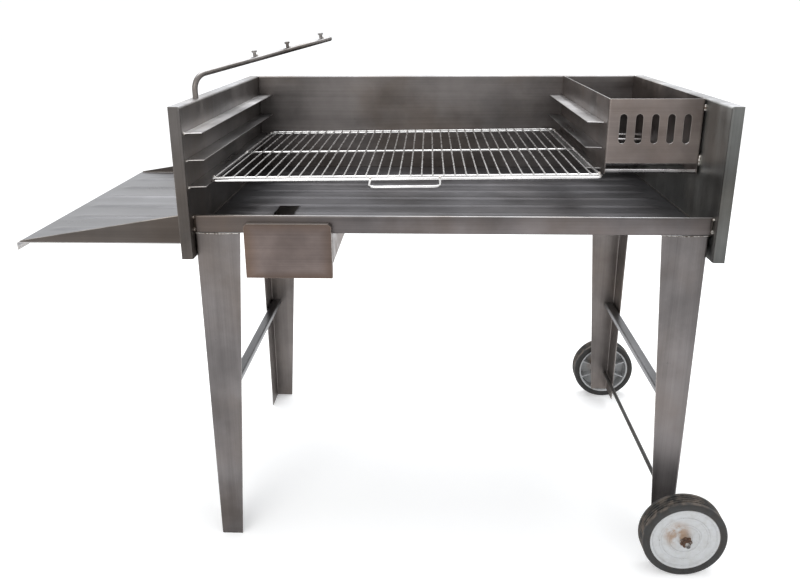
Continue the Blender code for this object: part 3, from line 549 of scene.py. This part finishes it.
def make_finishes():
    """All finishes. What shades or stains a piece towards an edge is placed from its box."""
    low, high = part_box("ash_drawer_front")
    drawer_rim = (("X", low.x + DRAWER_STAIN_LEFT, low.x), ("X", high.x - DRAWER_STAIN_RIGHT, high.x),
                  ("Z", high.z - DRAWER_STAIN_TOP, high.z), ("Z", low.z + DRAWER_STAIN_FOOT, low.z))
    front = cad_low.y + FIREBOX_FRONT
    flange = ("Y", front + FLANGE_SHADE[0], front + FLANGE_SHADE[1])
    low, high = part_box("fire_floor")
    # Painted shade on the fire floor near its side walls, and painted light towards its rear
    corners = (("X", low.x + FLOOR_SHADE_LEFT[0], low.x, FLOOR_SHADE_LEFT[1]),
               ("X", high.x - FLOOR_SHADE_RIGHT[0], high.x, FLOOR_SHADE_RIGHT[1]),
               ("Y", low.y + PAINTED_FLOOR_LIGHT_REAR[0], high.y, PAINTED_FLOOR_LIGHT_REAR[1]))
    steel("rail steel", RAIL_TONE, "X", top=PAINTED_TOP_LIGHT_TONE, stain=0.7, rim=(RAIL_STAIN,))
    steel("drawer steel", DRAWER_TONE, "X", top=PAINTED_TOP_LIGHT_TONE, stain=0.5, cloud=1.1, rim=drawer_rim)
    # Painted light: the drawer box inside is painted lighter
    steel("drawer box steel painted lit", PAINTED_LIT_DRAWER_BOX_TONE, "Y", stain=0.3, rough=0.55)
    steel("leg steel", LEG_TONE, "Z", stain=0.5, shade=(FOOT_SHADE,))
    # Painted light: the rear legs are painted lighter than the front ones
    steel("rear leg steel painted lit", PAINTED_LIT_REAR_LEG_TONE, "Z", stain=0.5, shade=(FOOT_SHADE,))
    steel("stretcher steel", STRETCHER_TONE, "Y", stain=0.2)
    steel("panel steel", PANEL_TONE, "Z", top=PAINTED_TOP_LIGHT_TONE, stain=0.6,
          shade=((*flange, LEFT_FLANGE_LEVEL),))
    # Painted light: the right panel's inner wall is painted lighter than the left one
    steel("right panel steel painted lit", PAINTED_LIT_RIGHT_PANEL_TONE, "Z", top=PAINTED_TOP_LIGHT_TONE, stain=0.5,
          shade=((*flange, RIGHT_FLANGE_LEVEL),))
    steel("back wall steel", WALL_TONE, "X", top=PAINTED_TOP_LIGHT_TONE, stain=0.6)
    steel("fire floor steel", FIRE_TONE, "X", stain=0.25, rough=0.52, shade=corners, edge_wear_and_highlight=0.0)
    steel("ledge steel", LEDGE_TONE, "Y", stain=0.3, rough=0.34)
    # Painted light: the upper ledges are painted lighter than the lower ones
    steel("upper ledge steel painted lit", PAINTED_LIT_UPPER_LEDGE_TONE, "Y", stain=0.2, rough=0.34)
    steel("shelf steel", SHELF_TONE, "X", stain=0.08, rough=0.34, cloud=0.4)
    steel("upstand steel", UPSTAND_TONE, "X", stain=0.4, cloud=0.5)
    steel("ember box steel", BOX_TONE, "X", top=PAINTED_TOP_LIGHT_TONE, stain=0.8)
    steel("bar steel", LEDGE_TONE, "Z", stain=0.2, rough=0.3)
    steel("axle steel", AXLE_TONE, "Y", stain=0.6, rough=0.45)
    # Dark seams, partly painted shade in the firebox's corners
    steel("sooty seam and painted corner shade", SEAM_AND_CORNER_SHADE_TONE, "X", stain=0.5, rough=0.6, edge_wear_and_highlight=0.0)
    wire_finish()
    weld_finish()
    rubber_finish()
    wheel_finish()
    fastener_finish("zinc", ZINC_TONE, DULL_ZINC_TONE, 0.1)
    fastener_finish("rusty zinc", OLD_ZINC_TONE, DARK_ZINC_TONE, 0.9)


# ---- Mesh helpers --------------------------------------------------------------------------------
def shown(name, data, finishes, body, place=(0.0, 0.0, 0.0)):
    """Show a mesh or curve as a piece under the empty of a CAD body, with the given finishes."""
    for finish in finishes:
        data.materials.append(bpy.data.materials[finish])
    made = bpy.data.objects.new(name, data)
    made.location = place
    bpy.context.scene.collection.objects.link(made)
    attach(made, body)
    return made


def mesh_of(name, shape, sharp=40.0):
    """Turn a bmesh into a smooth-shaded mesh whose real edges stay sharp."""
    bmesh.ops.recalc_face_normals(shape, faces=shape.faces)
    mesh = bpy.data.meshes.new(name)
    shape.to_mesh(mesh)
    shape.free()
    mesh.shade_smooth()
    mesh.set_sharp_from_angle(angle=math.radians(sharp))
    return mesh


def lathe(profile, sides=96):
    """Return a bmesh turned round the Y axis from closed (radius, y) profile points."""
    shape = bmesh.new()
    rings = []
    for step in range(sides):
        angle = 2 * math.pi * step / sides
        rings.append([shape.verts.new((radius * math.cos(angle), along, radius * math.sin(angle)))
                      for radius, along in profile])
    skin_rings(shape, rings)
    return shape


def skin_rings(shape, rings):
    """Add faces between closed rings of vertices, and from the last ring back to the first."""
    count = len(rings[0])
    for ring, following in zip(rings, rings[1:] + rings[:1]):
        for index in range(count):
            after = (index + 1) % count
            shape.faces.new((ring[index], ring[after], following[after], following[index]))


def skin_rows(shape, rows):
    """Add faces between rows of vertices."""
    for row, following in zip(rows, rows[1:]):
        for index in range(len(row) - 1):
            shape.faces.new((row[index], row[index + 1], following[index + 1], following[index]))


def arc(centre, radius, start, end, steps=4):
    """Points of an arc in a plane, with its angles in degrees."""
    turns = [math.radians(start + (end - start) * step / steps) for step in range(steps + 1)]
    return [(centre[0] + radius * math.cos(turn), centre[1] + radius * math.sin(turn))
            for turn in turns]


def spaced(low, high, step):
    """Evenly spaced numbers from low to high, no further apart than step."""
    count = max(1, math.ceil((high - low) / step))
    return [low + (high - low) * index / count for index in range(count + 1)]


def ripple(distance, width):
    """Height of a pressed bead, 0 to 1, at a distance from its middle."""
    share = min(abs(distance) / (width / 2), 1.0)
    return (0.5 + 0.5 * math.cos(math.pi * share)) ** BEAD_CREST


def fade(value, low, high, length):
    """1 inside a range and 0 at its ends, with a soft change over `length`."""
    share = max(0.0, min((value - low) / length, (high - value) / length, 1.0))
    return share * share * (3 - 2 * share)


def add_thickness(made):
    """Make a sheet of a surface that runs through its middle."""
    solid = made.modifiers.new("thickness", "SOLIDIFY")
    solid.thickness = SHEET
    solid.offset = 0.0
    solid.use_even_offset = True


def wires(name, runs, finish, body):
    """One curve object of round wires, each run given as (points, radius, closed)."""
    data = bpy.data.curves.new(name, "CURVE")
    data.dimensions = "3D"
    data.bevel_depth = 1.0
    data.bevel_resolution = 3
    data.use_fill_caps = True
    for points, radius, closed in runs:
        spline = data.splines.new("POLY")
        spline.points.add(len(points) - 1)
        for item, point in zip(spline.points, points):
            item.co = (*point, 1.0)
            item.radius = radius
        spline.use_cyclic_u = closed
        spline.use_smooth = True
    return shown(name, data, [finish], body)


def weld_blobs(name, places, body, size, seed, finish="weld metal"):
    """Small uneven lumps of metal. A place is (x, y, z) or (x, y, z, length along Z)."""
    shaken = random.Random(seed)
    shape = bmesh.new()
    for place in places:
        made = bmesh.ops.create_icosphere(shape, subdivisions=2, radius=1.0)
        tall = place[3] / 2 if len(place) > 3 else size * shaken.uniform(0.7, 1.1)
        for vert in made["verts"]:
            lump = 1.0 + shaken.uniform(-0.16, 0.16)
            vert.co = Vector((vert.co.x * size * lump, vert.co.y * size * lump * 0.8,
                              vert.co.z * tall * lump)) + Vector(place[:3])
    return shown(name, mesh_of(name, shape), [finish], body)


# ---- Sheet pieces --------------------------------------------------------------------------------
def fire_floor_profile(low, high):
    """(y, z) points across the floor, from the hem to the rear edge, and the floor's own range."""
    front = low.y + SHEET / 2
    rear = high.y - SHEET / 2
    top = high.z - SHEET / 2
    level = top - LIP_DROP
    points = [(front + HEM, top - HEM_DROP), (front + HEM, top - HEM / 2)]
    points += arc((front + HEM / 2, top - HEM / 2), HEM / 2, 0.0, 180.0, 6)
    points += arc((front + BEND, level + BEND), BEND, 180.0, 270.0)
    start = len(points)
    points += [(y, level) for y in spaced(front + 2 * BEND, rear - 2 * BEND, FLOOR_ROW_STEP)]
    end = len(points)
    points += arc((rear - BEND, level - BEND), BEND, 90.0, 0.0)
    points.append((rear, low.z))
    return points, start, end


def make_fire_floor():
    """Fire floor with softly pressed beads, a hemmed front lip and the ash opening."""
    low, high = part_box("fire_floor")
    hole_low, hole_high = OPENINGS["ash_opening"]
    hole_x = (hole_low.x - OPENING_MARGIN, hole_high.x + OPENING_MARGIN)
    hole_y = (hole_low.y - OPENING_MARGIN, hole_high.y + OPENING_MARGIN)
    profile, start, end = fire_floor_profile(low, high)
    end_width = 2 * BEAD_MARGIN + BEAD_FADE
    columns = sorted(spaced(low.x, low.x + end_width, FLOOR_END_STEP) + list(hole_x)
                     + spaced(hole_x[1] + FLOOR_END_STEP, high.x - end_width, FLOOR_MIDDLE_STEP)
                     + spaced(high.x - end_width + 0.001, high.x, FLOOR_END_STEP))
    snapped = [(min(hole_y, key=lambda edge: abs(edge - y)), z)
               if start <= index < end and min(abs(edge - y) for edge in hole_y) < OPENING_SNAP
               else (y, z) for index, (y, z) in enumerate(profile)]
    shape = bmesh.new()
    rows = []
    for index, (y, z) in enumerate(snapped):
        rise = 0.0
        if start <= index < end:
            rise = sum(ripple(y - low.y - FIRST_BEAD - step * BEAD_PITCH, BEAD_WIDTH)
                       for step in range(BEAD_COUNT)) * BEAD_RISE
        rows.append([shape.verts.new((x, y, z + rise * fade(x, low.x + BEAD_MARGIN,
                                                            high.x - BEAD_MARGIN, BEAD_FADE)))
                     for x in columns])
    for index, (row, following) in enumerate(zip(rows, rows[1:])):
        for column in range(len(columns) - 1):
            middle_x = (columns[column] + columns[column + 1]) / 2
            middle_y = (snapped[index][0] + snapped[index + 1][0]) / 2
            in_hole = hole_x[0] < middle_x < hole_x[1] and hole_y[0] < middle_y < hole_y[1]
            if in_hole and start <= index < end - 1:
                continue
            face = shape.faces.new((row[column], following[column], following[column + 1],
                                    row[column + 1]))
            face.material_index = 0 if index < start else 1
    mesh = mesh_of("fire_floor_sheet", shape, FOLD_ANGLE)
    made = shown("fire_floor_sheet", mesh, ["rail steel", "fire floor steel"], "stand")
    add_thickness(made)
    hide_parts("fire_floor")


def make_shelf():
    """Shelf sheet with soft ripples, tapered upstands and lips folded down at both ends."""
    low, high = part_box("side_shelf")
    level = high.z - SHELF_UPSTAND - SHEET / 2
    left = low.x + SHEET / 2
    right = high.x - SHEET / 2
    flat_left = left + 2 * BEND
    flat_right = right - 2 * BEND
    pitch = (high.y - low.y) / (SHELF_BEADS + 1)
    columns = [(left, level - SHELF_LIP)] + arc((left + BEND, level - BEND), BEND, 180.0, 90.0)
    columns += [(x, level) for x in spaced(flat_left, flat_right, SHELF_COLUMN_STEP)]
    columns += arc((right - BEND, level - BEND), BEND, 90.0, 0.0)
    columns.append((right, level - SHELF_INNER_LIP))
    across = [low.y + BEND * step / 3 for step in range(4)]
    across += spaced(low.y + 2 * BEND, high.y - 2 * BEND, SHELF_ROW_STEP)
    across += [high.y - BEND + BEND * step / 3 for step in range(4)]
    shape = bmesh.new()
    rows = []
    for y in across:
        rise = sum(ripple(y - low.y - (step + 1) * pitch, SHELF_BEAD_WIDTH)
                   for step in range(SHELF_BEADS)) * SHELF_BEAD_RISE
        rows.append([shape.verts.new((x, y, z + rise * fade(x, flat_left + SHELF_BEAD_MARGIN,
                                                            flat_right - SHELF_BEAD_MARGIN,
                                                            SHELF_BEAD_FADE)))
                     for x, z in columns])
    skin_rows(shape, rows)
    mesh = mesh_of("side_shelf_sheet", shape, FOLD_ANGLE)
    made = shown("side_shelf_sheet", mesh, ["shelf steel"], "stand")
    add_thickness(made)
    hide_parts("side_shelf")
    for end_name, edge, hand in (("front", low.y + SHEET / 2, 1), ("rear", high.y - SHEET / 2, -1)):
        make_upstand(f"shelf_{end_name}_upstand", edge, hand, flat_left, flat_right, level)


def make_upstand(name, edge, hand, left, right, level):
    """Tapered flange folded up from the front or the rear edge of the shelf."""
    fold = [(edge + hand * (BEND - BEND * math.cos(math.radians(turn))),
             BEND - BEND * math.sin(math.radians(turn))) for turn in (0.0, 30.0, 60.0, 90.0)]
    places = [(point[0], level + point[1]) for point in fold[::-1]]
    shape = bmesh.new()
    last = right - UPSTAND_GAP
    columns = [left] + spaced(left + UPSTAND_MARGIN, last - UPSTAND_MARGIN, UPSTAND_STEP) + [last]
    growth = (SHELF_UPSTAND - BEND - UPSTAND_START) / (right - left)
    rows = [[shape.verts.new((x, y, z)) for x in columns] for y, z in places]
    for share in UPSTAND_ROWS:
        rows.append([shape.verts.new((x, edge, level + BEND
                                      + share * (UPSTAND_START + (x - left) * growth)))
                     for x in columns])
    skin_rows(shape, rows)
    made = shown(name, mesh_of(name, shape, FOLD_ANGLE), ["upstand steel"], "stand")
    add_thickness(made)


# ---- Grid and arm --------------------------------------------------------------------------------
def rounded_loop(left, right, near, far, corner):
    """Closed plan of a rectangle with round corners."""
    centres = ((right - corner, far - corner), (left + corner, far - corner),
               (left + corner, near + corner), (right - corner, near + corner))
    points = []
    for index, centre in enumerate(centres):
        points += arc(centre, corner, 90.0 * index, 90.0 * (index + 1), GRID_CORNER_STEPS)
    return points


def make_grid():
    """Grid of round wires: frame, cross wires, thin wires between them and the handle."""
    low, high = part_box("grill_grid")
    left = low.x + FRAME_WIRE
    right = high.x - FRAME_WIRE
    near = low.y + HANDLE_WIRE + HANDLE_REACH + FRAME_WIRE
    far = high.y - FRAME_WIRE
    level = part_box("left_ledge_lower")[1].z + FRAME_WIRE + GRID_CLEARANCE
    slope = GRID_RISE / (right - left)

    def lifted(points, height=0.0):
        return [(x, y, level + height + (x - left) * slope) for x, y in points]

    crosses = [near - FRAME_WIRE + place for place in CROSS_PLACES]
    runs = [(lifted(rounded_loop(left, right, near, far, GRID_CORNER)), FRAME_WIRE, True)]
    for cross in crosses:
        runs.append((lifted([(left, cross), (right, cross)]), CROSS_WIRE, False))
    wire_x = low.x + GRID_PITCH
    while wire_x < right - GRID_PITCH / 2:
        ends = [(wire_x, crosses[0] - THIN_OVERHANG - CROSS_WIRE),
                (wire_x, crosses[-1] + THIN_OVERHANG + CROSS_WIRE)]
        runs.append((lifted(ends, CROSS_WIRE + THIN_WIRE * WIRE_SINK), THIN_WIRE, False))
        wire_x += GRID_PITCH
    centre = low.x + HANDLE_CENTRE
    half = HANDLE_WIDTH / 2
    bend_y = near - FRAME_WIRE - HANDLE_REACH + HANDLE_CORNER
    bend_half = half - HANDLE_CORNER
    bends = arc((centre - bend_half, bend_y), HANDLE_CORNER, 180.0, 270.0)
    bends += arc((centre + bend_half, bend_y), HANDLE_CORNER, 270.0, 360.0)
    handle = lifted([(centre - half, near)]) + lifted(bends, -HANDLE_DROOP)
    handle += lifted([(centre + half, near)])
    runs.append((handle, HANDLE_WIRE, False))
    made = wires("round_wire_grid", runs, "bright wire", "grid")
    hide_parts("grill_grid")
    joins = [(edge, cross) for edge in (left, right) for cross in crosses]
    joins += [(centre + side * half, near) for side in (-1, 1)]
    weld_blobs("grid_welds", lifted(joins, FRAME_WIRE * GRID_WELD_LIFT), "grid", GRID_WELD, 3)


def arm_path(pivot):
    """Path through the arm's bend, the corner that the bend rounds off and the way ahead of it."""
    plan = Vector((math.cos(ARM_PLAN_ANGLE), math.sin(ARM_PLAN_ANGLE), 0.0))
    ahead = (plan + Vector((0.0, 0.0, ARM_RISE))).normalized()
    corner = Vector((pivot.x, pivot.y, ARM_BEND_Z))
    up = Vector((0.0, 0.0, 1.0))
    turn = up.angle(ahead)
    reach = ARM_BEND * math.tan(turn / 2)
    begin = corner - up * reach
    inward = (ahead - up * ahead.dot(up)).normalized()
    centre = begin + inward * ARM_BEND
    points = [Vector((pivot.x, pivot.y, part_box("utensil_arm")[0].z)), begin - up * ARM_FOOT]
    for step in range(ARM_BEND_STEPS + 1):
        angle = turn * step / ARM_BEND_STEPS
        points.append(centre - inward * ARM_BEND * math.cos(angle)
                      + up * ARM_BEND * math.sin(angle))
    return points, corner, ahead


def make_arm():
    """Round bar with a smooth bend, and weld metal beside each peg."""
    pivot = JOINTS["utensil_arm_turn"]
    points, corner, ahead = arm_path(pivot)
    slope = ahead / Vector((ahead.x, ahead.y, 0.0)).length
    points.append(corner + slope * (ARM_REACH - ARM_TIP))
    tip = corner + slope * ARM_REACH
    runs = [(points, ARM_RADIUS, False)]
    runs.append(([points[-1], tip], ARM_RADIUS * ARM_TIP_SHARE, False))
    made = wires("bent_round_arm", runs, "panel steel", "utensil_arm_swivel")
    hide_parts("utensil_arm")
    places = []
    for place in PEG_PLACES:
        spot = corner + slope * place + Vector((0.0, 0.0, ARM_RADIUS * PEG_WELD_LIFT))
        places.append(spot + ahead * PEG_WELD_AHEAD)
    weld_blobs("peg_welds", places, "utensil_arm_swivel", PEG_WELD, 5)


# ---- Wheels --------------------------------------------------------------------------------------
def tyre_profile(outer, inner, half):
    """Closed section of a tyre with round shoulders and grooves between the tread ribs."""
    edge = half - TYRE_RIM
    crown = half - TYRE_SHOULDER
    shoulder = outer - TYRE_SHOULDER
    points = [(inner, -edge), (inner + 0.004, -half + 0.001), (shoulder, -half)]
    points += [(radius, along) for along, radius in
               arc((-crown, shoulder), TYRE_SHOULDER, 180.0, 90.0)][1:]
    rib = 2 * crown / TREAD_RIBS
    for index in range(1, TREAD_RIBS):
        middle = -crown + index * rib
        points += [(outer, middle - GROOVE_TOP), (outer - TREAD_GROOVE, middle - GROOVE_FOOT),
                   (outer - TREAD_GROOVE, middle + GROOVE_FOOT), (outer, middle + GROOVE_TOP)]
    points += [(radius, along) for along, radius in
               arc((crown, shoulder), TYRE_SHOULDER, 90.0, 0.0)]
    points += [(inner + 0.004, half - 0.001), (inner, edge)]
    return points


def disc_profile(outer, half, hub_half, outward):
    """Closed section of a wheel body: hub, web, rim, two pressed rings on the face, and hub."""
    face = half - DISC_FACE
    web = face - WEB_DROP
    rim = half - RIM_SIDE
    points = [(DISC_BORE, -hub_half), (HUB_BACK, -hub_half), (HUB_BACK + 0.001, face - 0.012),
              (outer - 0.006, face - 0.010), (outer - 0.004, -half + 0.004), (outer, -rim),
              (outer, rim), (outer - 0.0015, half - 0.0022), (outer - 0.004, rim),
              (outer - 0.007, web)]
    for ring in DISC_RINGS:
        points += [(ring + RING_FOOT, web), (ring + RING_TOP, face - RING_DROP),
                   (ring - RING_TOP, face - RING_DROP), (ring - RING_FOOT, web)]
    points += [(HUB_COLLAR, web), (0.0145, face), (HUB_FRONT + 0.001, hub_half - 0.001),
               (HUB_FRONT, hub_half), (DISC_BORE, hub_half)]
    return [(radius, along * outward) for radius, along in points]


def make_wheel(name, outward):
    """Ribbed tyre and dished white disc of one wheel."""
    centre = JOINTS[f"{name}_wheel_spin"]
    tyre_low, tyre_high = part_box(f"{name}_tyre")
    disc_low, disc_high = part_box(f"{name}_wheel_disc")
    outer = (tyre_high.x - tyre_low.x) / 2
    half = (tyre_high.y - tyre_low.y) / 2
    disc = (disc_high.x - disc_low.x) / 2
    hub_half = (disc_high.y - disc_low.y) / 2
    section = tyre_profile(outer, disc + TYRE_CLEARANCE, half)
    tyre_mesh = mesh_of(f"{name}_ribbed_tyre", lathe(section), 35.0)
    tyre = shown(f"{name}_ribbed_tyre", tyre_mesh, ["dusty rubber"], f"{name}_wheel",
                 centre)
    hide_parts(f"{name}_tyre")
    shape = lathe(disc_profile(disc, half, hub_half, outward))
    for index in range(WHEEL_RIBS):
        add_rib(shape, 2 * math.pi * (index + 0.5) / WHEEL_RIBS, disc - 0.005, half, outward)
    disc_mesh = mesh_of(f"{name}_dished_disc", shape, 30.0)
    made = shown(f"{name}_dished_disc", disc_mesh, ["wheel paint"], f"{name}_wheel",
                 centre)
    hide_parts(f"{name}_wheel_disc")


def add_rib(shape, angle, reach, half, outward):
    """Add a tapered stiffening rib behind the web of a wheel."""
    turn = Matrix.Rotation(angle, 3, "Y")
    back = -outward * (half - 0.006)
    front = outward * (half - 0.014)
    corners = []
    for thick in (-RIB_HALF, RIB_HALF):
        corners.append([shape.verts.new(turn @ Vector(point)) for point in
                        ((RIB_START, back * 0.9, thick), (reach, back, thick),
                         (reach, front, thick), (RIB_START, front, thick))])
    first, second = corners
    shape.faces.new(first)
    shape.faces.new(second)
    for index in range(4):
        after = (index + 1) % 4
        shape.faces.new((first[index], first[after], second[after], second[index]))


def make_axle():
    """Axle bar with cut threads at both ends."""
    low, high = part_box("wheel_axle")
    centre = (low + high) / 2
    radius = (high.x - low.x) / 2
    half = (high.y - low.y) / 2
    points = [(AXLE_CORE, -half), (radius - AXLE_CHAMFER, -half)]
    turns = int(THREAD_LENGTH / THREAD_PITCH)
    thread = []
    for index in range(turns):
        along = half - AXLE_CHAMFER - index * THREAD_PITCH
        thread += [(radius, along), (radius - THREAD_DEPTH, along - THREAD_PITCH / 2)]
    plain = half - THREAD_LENGTH - THREAD_RUN_OUT
    points += [(thread_radius, -along) for thread_radius, along in thread]
    points += [(radius, -plain), (radius, plain)]
    points += thread[::-1]
    points += [(radius - AXLE_CHAMFER, half), (AXLE_CORE, half)]
    mesh = mesh_of("threaded_axle", lathe(points, AXLE_SIDES), 30.0)
    made = shown("threaded_axle", mesh, ["axle steel"], "stand", centre)
    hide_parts("wheel_axle")


def make_nut(name, outward):
    """Hexagon nut with both faces chamfered, and lumps of rust round its washer."""
    low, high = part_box(name)
    centre = (low + high) / 2
    half = (high.y - low.y) / 2
    corner = (high.x - low.x) / 2
    flat = corner * math.cos(math.pi / 6)
    shape = bmesh.new()
    rings = []
    levels = ((NUT_BORE, -half), (flat * NUT_CHAMFER, -half), (corner, -half * NUT_EDGE),
              (corner, half * NUT_EDGE), (flat * NUT_CHAMFER, half), (NUT_BORE, half))
    for step in range(NUT_SIDES):
        angle = 2 * math.pi * step / NUT_SIDES
        inside = (angle % (math.pi / 3)) - math.pi / 6
        edge = flat / math.cos(inside)
        rings.append([shape.verts.new((min(radius, edge) * math.cos(angle), along,
                                       min(radius, edge) * math.sin(angle)))
                      for radius, along in levels])
    skin_rings(shape, rings)
    made = shown(f"chamfered_{name}", mesh_of(f"chamfered_{name}", shape, 22.0), ["rusty zinc"],
                 "stand", centre)
    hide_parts(name)
    washer = centre - Vector((0.0, outward * half * 1.2, 0.0))
    turns = [step * RUST_TURN for step in range(RUST_LUMPS)]
    places = [washer + Vector((RUST_RING * math.cos(turn), 0.0, RUST_RING * math.sin(turn)))
              for turn in turns]
    weld_blobs(f"rust_on_{name}", places, "stand", RUST_LUMP, 17, finish="rusty zinc")


# ---- CAD pieces and welds ------------------------------------------------------------------------
CAD_FINISHES = {
    "panel steel": ("left_side_panel", "arm_socket", "arm_peg_1", "arm_peg_2", "arm_peg_3"),
    "right panel steel painted lit": ("right_side_panel",),
    "back wall steel": ("back_wall",),
    "ledge steel": ("left_ledge_lower", "left_ledge_middle", "ember_box_ledge_lower",
                    "ember_box_ledge_middle"),
    "upper ledge steel painted lit": ("left_ledge_upper", "ember_box_ledge_upper"),
    "ember box steel": ("ember_box",),
    "bar steel": tuple(f"ember_bar_{index}" for index in range(1, 8)),
    "leg steel": ("left_front_leg", "right_front_leg"),
    "rear leg steel painted lit": ("left_rear_leg", "right_rear_leg"),
    "stretcher steel": ("left_stretcher", "right_stretcher"),
    "drawer steel": ("ash_drawer_front", "drawer_runner_left", "drawer_runner_right"),
    "drawer box steel painted lit": ("ash_drawer_box",),
    "zinc": (*(f"shelf_{kind}_{index}" for kind in ("bolt", "nut") for index in (1, 2, 3)),
             "front_axle_sleeve", "rear_axle_sleeve"),
    "rusty zinc": ("front_wheel_washer", "rear_wheel_washer"),
}
ROUND_PIECES = ("ember_bar", "arm_peg", "arm_socket", "front_axle_sleeve", "rear_axle_sleeve")


def finish_cad():
    """Give the CAD pieces that stay shown their finish, and round their edges a little."""
    for finish, names in CAD_FINISHES.items():
        for name in names:
            made = frame["nodes"][name]
            made.data.materials.clear()
            made.data.materials.append(bpy.data.materials[finish])
            if name.startswith(ROUND_PIECES):
                continue
            joined = made.modifiers.new("joined", "WELD")
            joined.merge_threshold = CAD_JOIN
            edges = made.modifiers.new("edges", "BEVEL")
            edges.width = CAD_EDGE
            edges.segments = 2
            edges.limit_method = "ANGLE"
            edges.angle_limit = math.radians(FOLD_ANGLE)


def make_welds():
    """Weld metal where the sheets of the stand meet."""
    floor_low, floor_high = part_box("fire_floor")
    lip = floor_low.y - 0.0005
    places = []
    for edge in (floor_low.x, floor_high.x):
        places += [(edge, lip, floor_high.z - 0.004), (edge, lip, floor_high.z - 0.030, 0.010)]
    for name in ("lower", "middle", "upper"):
        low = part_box(f"left_ledge_{name}")[0]
        places += [(low.x, low.y + 0.002, low.z), (low.x + 0.001, low.y + 0.25, low.z)]
    box_low, box_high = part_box("ember_box")
    slit = (box_high.x + floor_high.x) / 2
    places += [(slit, box_low.y + 0.002, box_high.z - 0.018, 0.016),
               (slit, box_low.y + 0.002, box_low.z + 0.030, 0.022)]
    places += [(slit, box_low.y + BOX_TACK_START + BOX_TACK_PITCH * step, box_high.z - 0.003)
               for step in range(BOX_TACKS)]
    weld_blobs("stand_welds", places, "stand", STAND_WELD, 11)


def make_seams():
    """Dark seams in the corners of the firebox: sooty welds where the sheets meet, and painted shade
    along the floor's corners.
    """
    floor_low, floor_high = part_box("fire_floor")
    wall_low, wall_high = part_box("back_wall")
    floor_z = floor_high.z - LIP_DROP
    seams = [([(edge, wall_low.y, floor_z), (edge, wall_low.y, wall_high.z - 0.002)], SEAM, False)
             for edge in (floor_low.x, floor_high.x)]
    seams += [([(edge, floor_low.y + 0.004, floor_z), (edge, wall_low.y, floor_z)], SEAM, False)
              for edge in (floor_low.x, floor_high.x)]
    seams.append(([(floor_low.x, wall_low.y, floor_z), (floor_high.x, wall_low.y, floor_z)],
                  SEAM * REAR_SEAM_SHARE, False))
    wires("corner_seams", seams, "sooty seam and painted corner shade", "stand")


def make_leg_welds():
    """Thin beads along the tops of the front legs, under the fire floor."""
    floor_low, floor_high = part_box("fire_floor")
    front = floor_low.y + 0.001
    under = floor_high.z - LIP_DROP - SHEET - 0.0010
    beads = []
    for leg in ("left_front_leg", "right_front_leg"):
        low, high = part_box(leg)
        beads.append(([(low.x, front, under + 0.001), ((low.x + high.x) / 2, front, under - 0.001),
                       (high.x, front, under + 0.0005)], LEG_WELD, False))
    wires("leg_weld_beads", beads, "weld metal", "stand")


make_camera()
make_lights()
make_finishes()
make_floor()
finish_cad()
make_fire_floor()
make_shelf()
make_grid()
make_arm()
make_wheel("front", -1)
make_wheel("rear", 1)
make_axle()
make_nut("front_axle_nut", -1)
make_nut("rear_axle_nut", 1)
make_welds()
make_seams()
make_leg_welds()
